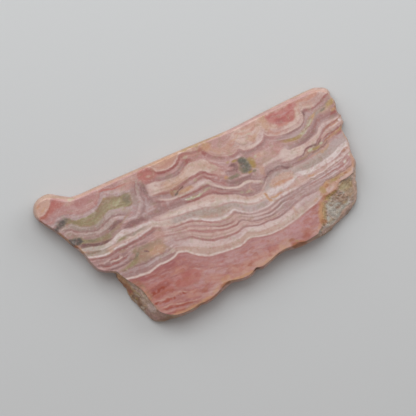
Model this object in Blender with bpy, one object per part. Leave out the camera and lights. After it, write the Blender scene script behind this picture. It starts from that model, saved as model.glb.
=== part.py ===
"""A polished slice of banded rhodochrosite, lying on its sawn underside.

The slice is one stone with two flat faces. A smooth ground edge runs along its straight side and round
its tip. The other sides are the rock's own broken walls, which spread outwards below the polished face.

Lengths are in millimetres until the mesh is written. +X runs along the straight edge, +Y points towards
that edge and +Z is up. The origin is under the middle of the slice, on its rest face.
"""

import bmesh
import bpy
import numpy as np

NODE_NAME = "rhodochrosite_slice"
THICKNESS = 6.0
FOOT_TUCK = 0.2  # how far the rest face stays inside the widest outline
CURVE_STEPS = 12  # points of the smooth curve between two outline points
BLEND_POINTS = 2  # outline points each side over which one wall profile turns into the next
MILLIMETRE = 0.001

# A wall profile runs from the rest face up to the polished face. Each pair is a height, as a share of the
# thickness, and a place between the footprint (0) and the edge of the polished face (1).
GROUND_EDGE = ((0.0, 0.0), (0.07, 0.0), (0.40, 0.0), (0.66, 0.04), (0.85, 0.30), (0.96, 0.66), (1.0, 1.0))
CHIPPED_EDGE = ((0.0, 0.1), (0.07, 0.0), (0.30, 0.0), (0.58, 0.10), (0.80, 0.35), (0.94, 0.70), (1.0, 1.0))
STEEP_MATRIX = ((0.0, 0.02), (0.07, 0.0), (0.28, 0.12), (0.48, 0.36), (0.66, 0.62), (0.84, 0.86), (1.0, 1.0))
BROAD_MATRIX = ((0.0, 0.01), (0.07, 0.0), (0.34, 0.02), (0.57, 0.14), (0.74, 0.42), (0.89, 0.78), (1.0, 1.0))

# The outlines are drawn clockwise from above, as (distance along the straight edge, distance in from it).
# Each stretch has a profile, a point spacing, its footprint and its edge of the polished face.
# It ends where the next one starts.
STRETCHES = (
    (
        GROUND_EDGE,
        0.8,
        # footprint round the tip
        (
            (-12.4, 0.6), (-12.4, -0.5), (-12.0, -1.7), (-11.3, -2.8), (-10.2, -3.6), (-8.6, -4.1),
            (-6.9, -4.15), (-5.5, -3.6), (-4.0, -2.5), (-2.3, -1.4), (-1.0, -0.6),
        ),
        # polished face round the tip
        (
            (-11.5, 0.8), (-11.3, -0.3), (-10.9, -1.3), (-10.2, -2.1), (-9.2, -2.6), (-8.1, -2.8),
            (-7.0, -2.6), (-5.8, -2.0), (-4.4, -1.0), (-2.9, 0.0), (-1.1, 0.75),
        ),
    ),
    (
        GROUND_EDGE,
        3.0,
        # footprint of the straight edge
        (
            (-1.0, -0.6), (0.5, -0.3), (8.0, -0.3), (18.0, -0.1), (30.0, 0.1), (38.0, 0.35), (44.0, 0.6),
            (49.0, 0.6), (55.0, 0.3), (62.0, 0.0), (69.0, -0.2), (73.0, -0.2),
        ),
        # polished face along the straight edge
        (
            (-1.1, 0.75), (0.5, 0.95), (8.0, 0.95), (18.0, 1.0), (30.0, 1.05), (38.0, 1.25), (44.0, 1.6),
            (49.0, 1.65), (55.0, 1.4), (62.0, 1.15), (69.0, 1.1), (72.6, 1.15),
        ),
    ),
    (
        CHIPPED_EDGE,
        0.7,
        # footprint of the ragged end
        (
            (73.0, -0.2), (74.3, 0.1), (76.0, 0.8), (77.1, 1.7), (77.4, 2.9), (77.2, 4.0), (77.7, 5.3),
            (77.5, 6.9), (77.1, 8.6), (77.7, 10.0), (77.4, 11.0), (77.7, 12.0), (76.8, 12.8), (76.2, 13.6),
            (76.4, 15.6), (76.5, 17.4), (76.1, 19.6), (75.9, 21.6), (76.1, 23.0), (75.9, 24.0),
        ),
        # polished face along the ragged end
        (
            (72.6, 1.15), (74.2, 1.5), (75.3, 2.0), (76.2, 2.7), (76.5, 3.4), (76.5, 4.2), (76.9, 5.4),
            (76.8, 6.9), (76.6, 8.5), (76.9, 9.9), (76.7, 11.0), (76.8, 12.0), (76.0, 12.7), (75.6, 13.7),
            (75.8, 15.6), (75.9, 17.4), (75.7, 19.5), (75.4, 21.5), (75.5, 22.9), (75.0, 24.2),
        ),
    ),
    (
        BROAD_MATRIX,
        0.9,
        # footprint of the broad matrix slope
        (
            (75.9, 24.0), (75.2, 25.3), (74.3, 27.2), (73.7, 29.2), (73.1, 31.0), (72.1, 33.0), (70.6, 34.6),
            (68.4, 35.7), (65.8, 36.7), (63.0, 37.6), (60.6, 38.4), (58.2, 38.8),
        ),
        # polished face above the broad matrix slope
        (
            (75.0, 24.2), (74.2, 25.5), (73.2, 26.4), (71.4, 26.7), (69.6, 26.8), (68.4, 27.5), (67.3, 28.4),
            (65.2, 28.6), (63.6, 29.4), (62.2, 30.9), (61.2, 32.9), (60.4, 34.6), (59.5, 36.2), (57.8, 37.6),
        ),
    ),
    (
        CHIPPED_EDGE,
        0.9,
        # footprint of the lower edge
        (
            (58.2, 38.8), (55.0, 38.9), (52.0, 39.1), (49.5, 38.7), (47.5, 38.3), (45.5, 38.6), (43.5, 39.2),
            (41.5, 39.8), (39.6, 40.2), (38.2, 39.7), (37.0, 40.4), (35.0, 41.0), (32.5, 40.7), (30.0, 40.2),
            (28.0, 40.9), (25.5, 41.6), (23.0, 42.4), (21.2, 42.6), (19.8, 42.3), (17.5, 42.8), (15.0, 42.9),
            (12.0, 42.6),
        ),
        # polished face along the lower edge
        (
            (57.8, 37.6), (55.0, 38.0), (53.2, 38.0), (52.0, 37.5), (50.4, 37.8), (48.0, 37.6), (45.5, 37.9),
            (43.5, 38.5), (41.5, 39.1), (39.6, 39.4), (38.2, 39.1), (37.0, 39.6), (35.0, 40.2), (32.5, 39.9),
            (30.0, 39.3), (28.2, 39.6), (25.5, 40.8), (23.0, 41.6), (21.2, 41.8), (19.8, 41.6), (17.5, 42.0),
            (15.0, 42.1), (12.5, 41.8),
        ),
    ),
    (
        STEEP_MATRIX,
        0.9,
        # footprint of the steep matrix wall
        (
            (12.0, 42.6), (9.8, 42.3), (7.6, 41.9), (6.0, 40.9), (5.0, 39.2), (4.2, 37.2), (3.4, 35.0),
            (2.7, 33.2), (2.4, 31.2), (2.3, 29.2), (1.8, 27.2), (1.4, 25.7), (1.7, 24.4),
        ),
        # polished face above the steep matrix wall
        (
            (12.5, 41.8), (10.9, 41.0), (9.4, 39.9), (8.3, 38.5), (7.8, 36.8), (7.3, 34.9), (6.9, 32.6),
            (6.3, 30.9), (5.4, 29.3), (4.4, 27.8), (3.5, 26.3), (2.8, 25.0), (2.4, 24.0),
        ),
    ),
    (
        CHIPPED_EDGE,
        0.9,
        # footprint of the dark left edge
        (
            (1.7, 24.4), (0.9, 23.6), (-0.8, 22.9), (-2.2, 21.9), (-3.1, 20.6), (-3.8, 18.9), (-4.2, 17.0),
            (-4.6, 15.4), (-5.3, 13.9), (-6.3, 12.1), (-7.2, 10.1), (-8.1, 8.3), (-9.1, 6.5), (-10.2, 4.7),
            (-11.3, 3.0), (-12.1, 1.6), (-12.4, 0.6),
        ),
        # polished face along the dark left edge
        (
            (2.4, 24.0), (1.3, 23.2), (-0.2, 22.5), (-1.6, 21.5), (-2.5, 20.3), (-3.1, 18.7), (-3.5, 16.9),
            (-3.9, 15.2), (-4.6, 13.6), (-5.6, 11.8), (-6.5, 9.8), (-7.4, 8.0), (-8.4, 6.2), (-9.6, 4.4),
            (-10.7, 2.8), (-11.4, 1.6), (-11.5, 0.8),
        ),
    ),
)


def clear_scene():
    """Start from an empty scene."""
    for scene_object in list(bpy.data.objects):
        bpy.data.objects.remove(scene_object, do_unlink=True)


def smooth_curve(points):
    """A Catmull-Rom curve through the points, with its ends at the first and the last."""
    points = np.array(points)
    before = 2 * points[0] - points[1]
    after = 2 * points[-1] - points[-2]
    control = np.vstack((before, points, after))
    steps = np.linspace(0.0, 1.0, CURVE_STEPS, endpoint=False)[:, None]
    spans = []
    for p0, p1, p2, p3 in zip(control, control[1:], control[2:], control[3:]):
        linear = (p2 - p0) * steps
        square = (2 * p0 - 5 * p1 + 4 * p2 - p3) * steps**2
        cube = (3 * p1 - p0 - 3 * p2 + p3) * steps**3
        spans.append(p1 + 0.5 * (linear + square + cube))
    return np.vstack((*spans, points[-1:]))


def spaced_points(points, count):
    """The smooth curve's points at equal distances, without its last one."""
    curve = smooth_curve(points)
    lengths = np.linalg.norm(np.diff(curve, axis=0), axis=1)
    travelled = np.concatenate(([0.0], np.cumsum(lengths)))
    wanted = np.linspace(0.0, travelled[-1], count, endpoint=False)
    return np.column_stack([np.interp(wanted, travelled, curve[:, axis]) for axis in (0, 1)])


def curve_length(points):
    return np.linalg.norm(np.diff(smooth_curve(points), axis=0), axis=1).sum()


def outlines_and_profiles():
    """The footprint, the polished outline and the wall profile at each point round the slice."""
    foot, face, profiles = [], [], []
    for profile, spacing, foot_points, face_points in STRETCHES:
        count = round(curve_length(foot_points) / spacing)
        foot.append(spaced_points(foot_points, count))
        face.append(spaced_points(face_points, count))
        profiles.append(np.repeat([profile], count, axis=0))
    shifts = range(-BLEND_POINTS, BLEND_POINTS + 1)
    profiles = np.concatenate(profiles)
    profiles = np.mean([np.roll(profiles, shift, axis=0) for shift in shifts], axis=0)
    return np.concatenate(foot), np.concatenate(face), profiles


def in_part_frame(outline, middle):
    """Outline points turned to +X along the straight edge and +Y towards it, about the middle."""
    return (outline - middle) * (1.0, -1.0)


def tucked(outline, distance):
    """The outline moved inwards by a distance. It runs clockwise, so its inside is on the right."""
    along = np.roll(outline, -1, axis=0) - np.roll(outline, 1, axis=0)
    inwards = np.column_stack((along[:, 1], -along[:, 0]))
    return outline + distance * inwards / np.linalg.norm(inwards, axis=1)[:, None]


def wall_rings():
    """Rings of points from the rest face up to the polished face."""
    foot, face, profiles = outlines_and_profiles()
    middle = (foot.min(axis=0) + foot.max(axis=0)) / 2
    foot = in_part_frame(foot, middle)
    face = in_part_frame(face, middle)
    rings = []
    for heights, leans in profiles.transpose(1, 2, 0):
        base = tucked(foot, FOOT_TUCK) if not rings else foot
        flat = base + (face - base) * leans[:, None]
        rings.append(np.column_stack((flat, heights * THICKNESS)))
    return rings


def build_mesh(name):
    mesh_data = bpy.data.meshes.new(name)
    shape = bmesh.new()
    loops = [[shape.verts.new(point * MILLIMETRE) for point in ring] for ring in wall_rings()]
    for lower, upper in zip(loops, loops[1:]):
        count = len(lower)
        for i in range(count):
            following = (i + 1) % count
            shape.faces.new((lower[i], upper[i], upper[following], lower[following]))
    rest_face = shape.faces.new(loops[0])
    polished_face = shape.faces.new(list(reversed(loops[-1])))
    bmesh.ops.triangulate(shape, faces=[rest_face, polished_face], ngon_method="BEAUTY")
    bmesh.ops.recalc_face_normals(shape, faces=shape.faces)
    shape.to_mesh(mesh_data)
    shape.free()
    return mesh_data


def stone_material():
    material = bpy.data.materials.new("rhodochrosite")
    material.use_nodes = True
    shader = material.node_tree.nodes["Principled BSDF"]
    shader.inputs["Base Color"].default_value = (0.55, 0.24, 0.20, 1.0)
    shader.inputs["Roughness"].default_value = 0.3
    shader.inputs["Metallic"].default_value = 0.0
    return material


def build_slice():
    mesh_data = build_mesh(NODE_NAME)
    mesh_data.materials.append(stone_material())
    slice_object = bpy.data.objects.new(NODE_NAME, mesh_data)
    bpy.context.scene.collection.objects.link(slice_object)
    mesh_data.shade_smooth()
    mesh_data.set_sharp_from_angle(angle=np.radians(35.0))


clear_scene()
build_slice()
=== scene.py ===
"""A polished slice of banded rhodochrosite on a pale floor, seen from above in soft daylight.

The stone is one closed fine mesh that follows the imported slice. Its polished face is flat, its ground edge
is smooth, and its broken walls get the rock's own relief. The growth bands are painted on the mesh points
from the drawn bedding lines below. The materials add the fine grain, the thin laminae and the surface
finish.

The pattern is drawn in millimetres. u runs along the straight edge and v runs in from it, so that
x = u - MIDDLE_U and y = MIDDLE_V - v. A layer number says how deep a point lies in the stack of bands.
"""

import math

import bpy
import numpy as np
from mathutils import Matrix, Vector
from mathutils import noise as rock
from mathutils.bvhtree import BVHTree
from mathutils.geometry import delaunay_2d_cdt


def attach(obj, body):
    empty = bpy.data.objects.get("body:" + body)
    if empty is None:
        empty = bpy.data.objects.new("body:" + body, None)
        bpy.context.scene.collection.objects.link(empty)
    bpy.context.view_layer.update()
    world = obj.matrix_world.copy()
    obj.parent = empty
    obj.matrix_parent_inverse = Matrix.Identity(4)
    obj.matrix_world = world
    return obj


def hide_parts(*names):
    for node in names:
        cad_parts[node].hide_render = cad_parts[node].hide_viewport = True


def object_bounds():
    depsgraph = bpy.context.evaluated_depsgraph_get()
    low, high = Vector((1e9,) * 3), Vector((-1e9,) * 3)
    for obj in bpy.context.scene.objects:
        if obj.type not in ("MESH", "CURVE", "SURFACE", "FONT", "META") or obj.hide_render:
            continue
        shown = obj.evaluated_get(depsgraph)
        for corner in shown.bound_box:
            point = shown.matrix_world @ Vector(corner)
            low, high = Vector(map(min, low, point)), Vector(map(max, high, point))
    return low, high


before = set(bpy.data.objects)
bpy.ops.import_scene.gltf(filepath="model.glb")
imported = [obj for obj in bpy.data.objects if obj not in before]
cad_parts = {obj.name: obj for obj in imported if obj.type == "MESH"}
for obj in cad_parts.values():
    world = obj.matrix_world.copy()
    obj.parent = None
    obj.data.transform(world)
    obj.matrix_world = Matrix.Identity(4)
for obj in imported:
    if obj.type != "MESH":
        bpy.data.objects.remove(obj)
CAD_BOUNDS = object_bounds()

NODE_NAME = "rhodochrosite_slice"
MILLIMETRE = 0.001
MIDDLE_U = 32.65  # drawing position of the part's origin, in millimetres
MIDDLE_V = 19.37

# The picture.
CAMERA_DISTANCE = 1200.0  # from the polished face, in millimetres
FRAME_WIDTH = 116.48  # of the polished face's plane, in millimetres
VIEW_CENTRE = (32.86, 18.26)  # the middle of the picture, as (u, v)
CAMERA_TURN = -24.6  # degrees
SENSOR_WIDTH = 36.0
THICKNESS = 6.0
FLOOR_SIZE = 4.0  # in metres
FLOOR_GAP = 0.00002  # between the floor and the rest face, in metres
FLOOR_COLOUR = (0.515, 0.525, 0.525)
SKY_COLOUR = (1.09, 0.99, 0.96)
SKY_STRENGTH = 0.36
# Three soft windows round the picture's top right: bearing from +X towards +Y, height, power.
WINDOWS = ((20, 25, 1.35), (80, 55, 1.75), (110, 25, 0.9))
WINDOW_DISTANCE = 0.55  # in metres
WINDOW_SIZE = (0.45, 0.35)
WINDOW_COLOUR = (0.955, 0.995, 1.02)

# How painted colours become base colours: the face's own shine, and the light on it.
SURFACE_SHINE = 0.035
LIGHT_GAIN = (1.03, 0.96, 0.92)

# The mesh, in millimetres.
OUTLINE_POINTS = 1100
CURVE_STEPS = 8  # points of the smooth curve between two corners of the CAD outline
LEVEL_TOLERANCE = 0.002
WALL_ROWS = 32
WALL_LEVELS = 44  # heights at which the CAD wall is measured
LEVEL_CROWDING = 1.2  # above 1, the levels crowd towards the polished face
LOWEST_LEVEL = 0.01
RAY_INSET = 0.04  # the rays that measure the wall start this far inside the polished outline
DIRECTION_REACH = 12  # outline points over which the walls' directions are evened out
FACE_STEPS = (0.34, 0.19)  # the polished face's point spacing along the bands and across them
REST_STEPS = (0.6, 0.38)  # the same for the rest face
FILL_INSIDE = 1  # the Delaunay output that keeps only what lies inside the outline
FILL_TOLERANCE = 1e-7
EDGE_CLEARANCE = 0.75  # least gap between the outline and an inner point, as a share of the spacing

# Where each stretch of the edge starts on the polished outline, clockwise from above.
STRETCHES = (
    ("tip", -11.5, 0.8), ("straight", -1.1, 0.75), ("ragged", 72.6, 1.15), ("broad", 75.0, 24.2),
    ("lower", 57.8, 37.6), ("steep", 12.5, 41.8), ("left", 2.4, 24.0),
)
STRETCH_BLEND = 5  # outline points over which one stretch turns into the next
# The rock's relief: how far the walls move, the sizes of its lumps and facets, and where facets show.
RELIEF = {
    "tip": 0.015, "straight": 0.015, "ragged": 0.13, "broad": 0.3, "lower": 0.16, "steep": 0.26,
    "left": 0.13,
}
LUMP_SIZE = 2.3
SMALL_LUMP_SIZE = 1.0
LUMP_SHARE = 0.7
FACET_SIZE = 1.1
FACET_LEVEL = 0.55
GRAINY = ("broad", "steep")

# Colours as they look in plain daylight, 0 to 255.
MINERALS = {
    "white": (216, 197, 190),
    "cream": (208, 180, 166),
    "blush": (202, 172, 162),
    "pale_lilac": (207, 181, 174),
    "beige": (195, 168, 154),
    "lilac": (180, 154, 150),
    "mauve": (167, 134, 129),
    "plum": (148, 114, 109),
    "dark_plum": (124, 92, 89),
    "rose": (182, 141, 135),
    "deep_rose": (171, 121, 115),
    "pink": (186, 142, 140),
    "red": (176, 112, 103),
    "eye_pink": (185, 126, 118),
    "eye_red": (172, 101, 95),
    "dark_red": (150, 92, 86),
    "crimson": (154, 94, 92),
    "ember": (148, 76, 62),
    "brick": (160, 98, 82),
    "coral": (188, 137, 120),
    "salmon": (189, 147, 131),
    "peach": (197, 160, 143),
    "apricot": (191, 149, 126),
    "orange": (190, 143, 108),
    "rust": (158, 106, 80),
    "ochre": (170, 139, 96),
    "mustard": (160, 132, 84),
    "olive": (146, 130, 98),
    "lime": (178, 168, 136),
    "pale_green": (186, 178, 150),
    "grey_olive": (132, 118, 100),
    "slate": (99, 97, 90),
    "ink": (94, 87, 82),
    "umber": (146, 110, 90),
    "grey_beige": (176, 155, 146),
    "taupe": (162, 142, 128),
    "grey": (142, 128, 118),
    "quartz": (184, 176, 164),
    "tan": (160, 131, 108),
    "brown": (126, 94, 76),
    "dark_brown": (98, 70, 56),
}

# Bedding lines: (u, v) points from left to right.
LOBE_FEET = (
    (18, 0.9), (22, 0.9), (23, 1.6), (23.8, 2.6), (24.8, 3.2), (26.5, 3.5), (29.3, 3.1), (30.3, 2.6),
    (31.6, 1.35), (32.5, 1.3), (35.5, 2), (37, 2.3), (38, 2.2), (38.6, 3), (39.2, 4), (42, 6.4), (45, 7.4),
    (46.5, 7.3), (47.6, 6.7), (48.3, 7.5), (49.5, 8), (52.5, 7.9), (54, 7.5), (55.2, 6.6), (55.6, 5.8),
    (56.2, 6.6), (57.5, 7.3), (59, 8), (61, 8.3), (63, 8.4), (65, 8.2), (66.5, 7.6), (67.4, 6.6), (68, 5),
    (68.7, 4.1), (69.5, 4.3), (70.5, 4.7), (73, 4.3), (74.2, 3.8), (75.3, 3.1), (76.3, 2.9), (78, 2.8),
)
CREAM_TOP = (
    (18, 4.9), (19.5, 5.2), (22.5, 5.6), (24, 6.1), (26, 6.4), (31, 5.8), (32, 5.2), (33, 4.8), (35.5, 5),
    (37, 5.2), (38, 6.2), (39, 7.2), (40, 8.2), (41.5, 9), (43, 9.5), (45, 9.4), (48, 9.6), (52, 9.8),
    (56, 9.4), (58, 9.5), (60.5, 10.2), (64.5, 10.7), (66, 10), (67.5, 9.4), (68.5, 8.6), (69.7, 7.7),
    (70.5, 7.1), (72, 6.6), (74, 6.3), (77, 5.4),
)
CREAM_FOOT = (
    (18, 8.6), (22, 8.8), (25, 9.3), (28, 9), (33, 8.3), (36, 8.4), (37, 9.3), (38, 10), (41, 12),
    (43, 13.2), (46, 13.8), (50, 13.6), (54, 13), (57, 12.6), (58, 12.1), (59.5, 12.2), (60, 12.8),
    (62, 13.1), (66, 12.9), (68, 12.2), (69.5, 11.6), (70.5, 10.5), (71.5, 9.9), (73, 9.8), (76.5, 10),
    (78, 9.6),
)
WHITE_LINE = (
    (18, 9.4), (21.5, 10.3), (23, 11.2), (25, 11.8), (30, 11.9), (32, 11.8), (34, 11.6), (35.5, 11.7),
    (36.5, 12.7), (41.5, 16.1), (43.5, 16.5), (45.3, 16), (46.5, 16.1), (48, 17), (49.5, 17.8), (50.3, 18),
    (51, 16.6), (52, 15.6), (53.5, 15), (55.5, 15), (56.5, 15.3), (60, 16), (61.5, 15.8), (63.5, 15.6),
    (64.2, 14.8), (66, 14.4), (68, 14.5), (69, 13.6), (71, 11.6), (72.5, 11.1), (75, 10.8), (77, 10.4),
)
BLUSH_TOP = (
    (18, 14.2), (28, 14.5), (31, 14.8), (36, 15.2), (38, 16.4), (40, 17.3), (42, 18.2), (43, 19),
    (44.5, 19.8), (46.5, 20.3), (48.5, 19.9), (49.5, 19), (50.3, 18.3), (51, 17.2), (52, 16.6),
    (53.5, 16.2), (55.5, 16.2), (57, 16.9), (58.5, 17.2), (60, 17.2), (62, 17.3), (66, 16.9), (68, 16.6),
    (71.5, 15.5), (73, 14.9), (76, 14.2), (78, 14),
)
MIDDLE_WHITE = (
    (-14, 13.5), (-4, 14.7), (0, 15.7), (2, 16.1), (5, 15.7), (6, 15.1), (8, 14.7), (12, 15.2), (14, 15.1),
    (16, 14.9), (20, 15.9), (23, 16.3), (29, 17), (32, 17.5), (35, 18.5), (38, 18.9), (40, 19.4),
    (44, 21.8), (46, 22.3), (48, 22.2), (50, 22.1), (52, 22.2), (56, 21.8), (58, 21.2), (59.3, 20.5),
    (61, 20.8), (67, 20.7), (72, 19.7), (74, 18.7), (75.5, 18.3), (78, 17.5),
)
SECOND_WHITE = (
    (-14, 15.7), (-4, 16.7), (-2, 17.5), (2, 18.2), (5, 17.7), (8, 17.8), (12, 17.5), (14, 17.1),
    (15.5, 16.8), (16.5, 16.5), (17.5, 16.8), (20, 18.1), (26, 19), (27.5, 19.2), (28.5, 19.7), (30, 20.4),
    (31, 21.2), (32, 21.7), (35, 22.6), (38, 22.1), (39, 21.8), (40, 22.4), (42, 23.9), (47, 24.85),
    (49, 24.7), (50.5, 24.2), (52, 23.8), (54, 23.7), (60, 23.2), (64, 22.9), (66, 22.6), (71.5, 21.7),
    (74.5, 20.4), (78, 19),
)
BASE_WHITE = (
    (-14, 26.4), (3.4, 26.9), (7, 27.8), (9, 28), (10.5, 28.05), (12, 27.7), (14, 27.3), (16, 27.4),
    (19, 26.8), (20, 26.3), (21, 26.5), (23, 27.5), (24, 28.5), (25, 29.2), (28, 30.7), (29.5, 30.95),
    (35, 31.7), (37, 31.75), (38.5, 31.3), (40, 30.8), (41.5, 31.2), (43, 31.7), (47, 32.3), (49, 32.2),
    (53, 31.7), (55, 31.2), (59, 30.2), (60.5, 29.9), (62, 29.3), (70, 27), (78, 24.5),
)
BASE_FOOT = (
    (-14, 34), (4, 34.3), (8, 34.6), (12, 34.6), (16, 35), (20, 36.2), (28, 38.6), (32, 39.2), (40, 39),
    (50, 39.8), (56, 38.8), (62, 37.3), (70, 36), (78, 34),
)
BASIN_ROSE_FOOT = (
    (-14, 2.7), (-9, 2.6), (-5, 3.2), (1, 4.9), (3, 4.8), (5, 4.3), (5.8, 3.7), (6.5, 2.6), (7.2, 1.7),
    (9, 2), (11, 2.7), (13, 3), (15, 2.9), (20, 3),
)
OLIVE_TOP = (
    (-14, 6.5), (-9.5, 5.4), (-6.5, 4.4), (-5, 4.2), (-4, 4.6), (-3.2, 5.6), (-2, 6.1), (-0.5, 6.2),
    (1, 6.4), (2.5, 6.2), (5.2, 5.2), (6, 4.5), (8, 3.9), (9.5, 4.3), (12, 5.1), (13.2, 4.9), (14.3, 5),
    (16, 5), (20, 5),
)
OLIVE_FOOT = (
    (-14, 7.5), (-9, 6.3), (-7.5, 6.5), (-5, 6.2), (-4, 6.3), (-3.2, 6.8), (-2.4, 7.8), (-1.5, 8.3),
    (-0.3, 8.7), (1, 9.2), (2.5, 9.4), (5, 8.4), (6, 7.8), (7.5, 7.4), (9, 7.7), (10.5, 7.9), (13.5, 8.6),
    (14.3, 8.3), (20, 8.3),
)
BASIN_LINE = (
    (-14, 8.2), (-7.5, 7.4), (-6.5, 7.6), (-5.5, 7.9), (-4.5, 8), (-3.5, 8.8), (-2.5, 9.6), (-1.5, 10.1),
    (-0.5, 10.6), (1, 10.9), (4.5, 10.4), (5.5, 9.8), (8, 9.5), (9, 9.7), (10, 10.2), (11.5, 10.7),
    (12.5, 11.2), (16, 11.5), (20, 11.5),
)
BASIN_LILAC_FOOT = (
    (-14, 9.5), (-7, 9), (-4, 9.7), (-3, 10.3), (0, 11.5), (1.2, 11.8), (2.5, 11.8), (4, 11.6), (5, 11),
    (7.3, 10.1), (8.5, 10.2), (9.5, 10.5), (10.5, 11.2), (12.5, 11.8), (16, 12.2), (20, 12.2),
)
BASIN_PLUM = (
    (-14, 11), (-6, 10.4), (-4, 10.9), (1, 12.4), (4, 12.4), (5.5, 12.2), (7.8, 11.1), (9, 11.2), (10, 12),
    (12, 12.5), (16, 12.9), (20, 12.9),
)
BASIN_DARK = (
    (-14, 12.4), (-4.2, 12.8), (-2, 13.2), (0, 14), (1, 14.2), (3.5, 14.6), (5, 14.4), (6.5, 13.9),
    (8, 13.6), (10, 13.6), (13, 13.8), (20, 14),
)
RIPPLE_1 = (
    (-5, 12.4), (0, 12.8), (2, 13.1), (7, 13), (9, 12.4), (11, 12.6), (13, 12.9), (15, 12.9), (17, 13),
    (20, 12.6), (24, 12.5), (26, 12.3), (27, 12.5), (29, 12.6), (33, 12.6), (36, 12.9), (38.7, 13.2),
    (40, 12.7), (43, 12.5), (49, 12.9), (51, 12.9), (52, 12.6), (55, 12.6), (58, 12.5), (60, 12.3),
    (62, 12.6), (78, 13),
)
RIPPLE_2 = (
    (-5, 13.3), (-2, 13.5), (0, 13.8), (2, 14.2), (6, 14), (7.5, 13.8), (9, 13.8), (12, 13.8), (20, 13.4),
    (23, 13.4), (25, 13.2), (27, 13.4), (28.5, 13.8), (30, 13.9), (32, 13.7), (37, 14), (38.7, 14.3),
    (40, 13.8), (42, 13.8), (45, 13.8), (49, 14), (51, 14.1), (53, 13.7), (58, 13.5), (60, 13.5),
    (64, 13.9), (70, 14), (78, 14),
)
RIPPLE_3 = (
    (-5, 14.6), (0, 15.2), (4, 15.4), (6, 15.1), (7.5, 14.8), (9, 15), (16, 15.5), (18, 15.6), (21, 15.4),
    (23, 15.2), (25, 14.7), (28, 15.5), (30, 15.8), (32, 15.6), (37, 15.7), (38.7, 15.9), (41, 15.4),
    (44, 15.3), (47, 15), (50, 15.6), (54, 15.2), (56, 14.8), (60, 14.8), (62, 15.5), (70, 16), (78, 16),
)

# Where the fold meets the basin, as (v, u) points from the edge inwards, and how far it reaches over it.
FOLD_EDGE = (
    (-6, 19.2), (3.5, 19.4), (5, 19.45), (8.5, 19.4), (9.5, 20.5), (10.5, 20.8), (12, 20.5), (14, 19.5),
    (30, 19.5),
)
FOLD_COVER = 0.9

# The stacks give each bedding line its layer number, from the straight edge inwards.
UPPER_STACK = (
    (0.0, LOBE_FEET), (2.0, CREAM_TOP), (3.5, CREAM_FOOT), (5.0, WHITE_LINE), (6.5, BLUSH_TOP),
    (9.0, MIDDLE_WHITE),
)
BASIN_STACK = (
    (0.0, BASIN_ROSE_FOOT), (1.5, OLIVE_TOP), (3.75, OLIVE_FOOT), (5.25, BASIN_LINE),
    (6.0, BASIN_LILAC_FOOT), (6.75, BASIN_PLUM), (7.9, BASIN_DARK), (9.0, MIDDLE_WHITE),
)
LOWER_STACK = ((9.0, MIDDLE_WHITE), (11.0, SECOND_WHITE), (19.0, BASE_WHITE), (27.0, BASE_FOOT))

# Fine lines between the second white band and the base: (u, layer number before they are straightened).
RIPPLES = (
    (11.0, ((-14, 11.0), (78, 11.0))), (12.7, RIPPLE_1), (13.8, RIPPLE_2), (15.6, RIPPLE_3),
    (19.0, ((-14, 19.0), (78, 19.0))),
)

# Growth bands: mineral, from layer, to layer, from u, to u, strength, softness.
LOBE_BANDS = (
    ("peach", -20, 0.05, 19, 78, 1),
    # first lobe, salmon heart and pale rim
    ("salmon", -20, -0.45, 23, 31.5, 1, 0.5), ("blush", -0.6, 0.02, 23, 31.5, 0.6, 0.3),
    # strip between the lobes
    ("apricot", -20, 0, 31.5, 38.5, 0.5, 0.4),
    # second, mauvish in the middle and salmon below
    ("rose", -20, -0.3, 39, 47.5, 0.75, 0.6), ("salmon", -2.6, -0.5, 40, 46.5, 0.8, 0.8),
    ("cream", -0.45, 0.05, 42, 47, 0.5, 0.3),
    # third, nearly white
    ("cream", -20, 0.05, 47.5, 55.2, 0.9, 0.3), ("blush", -4.2, -0.2, 48, 55.2, 0.5, 1.2),
    ("white", -0.9, 0, 52.5, 55.8, 0.4, 0.5),
    # fourth, the eye
    ("peach", -20, 0.05, 55.6, 67.8, 1, 0.3), ("blush", -2.4, 0, 56, 68, 0.7, 0.8),
    ("cream", -0.7, 0, 55.5, 68, 0.5, 0.3),
    # fifth
    ("peach", -20, 0.05, 68.2, 78, 0.7, 0.3), ("blush", -2.6, -0.1, 68.2, 77, 0.5, 0.8),
    ("cream", -0.6, -0.05, 69, 77, 0.5, 0.3),
)
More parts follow.
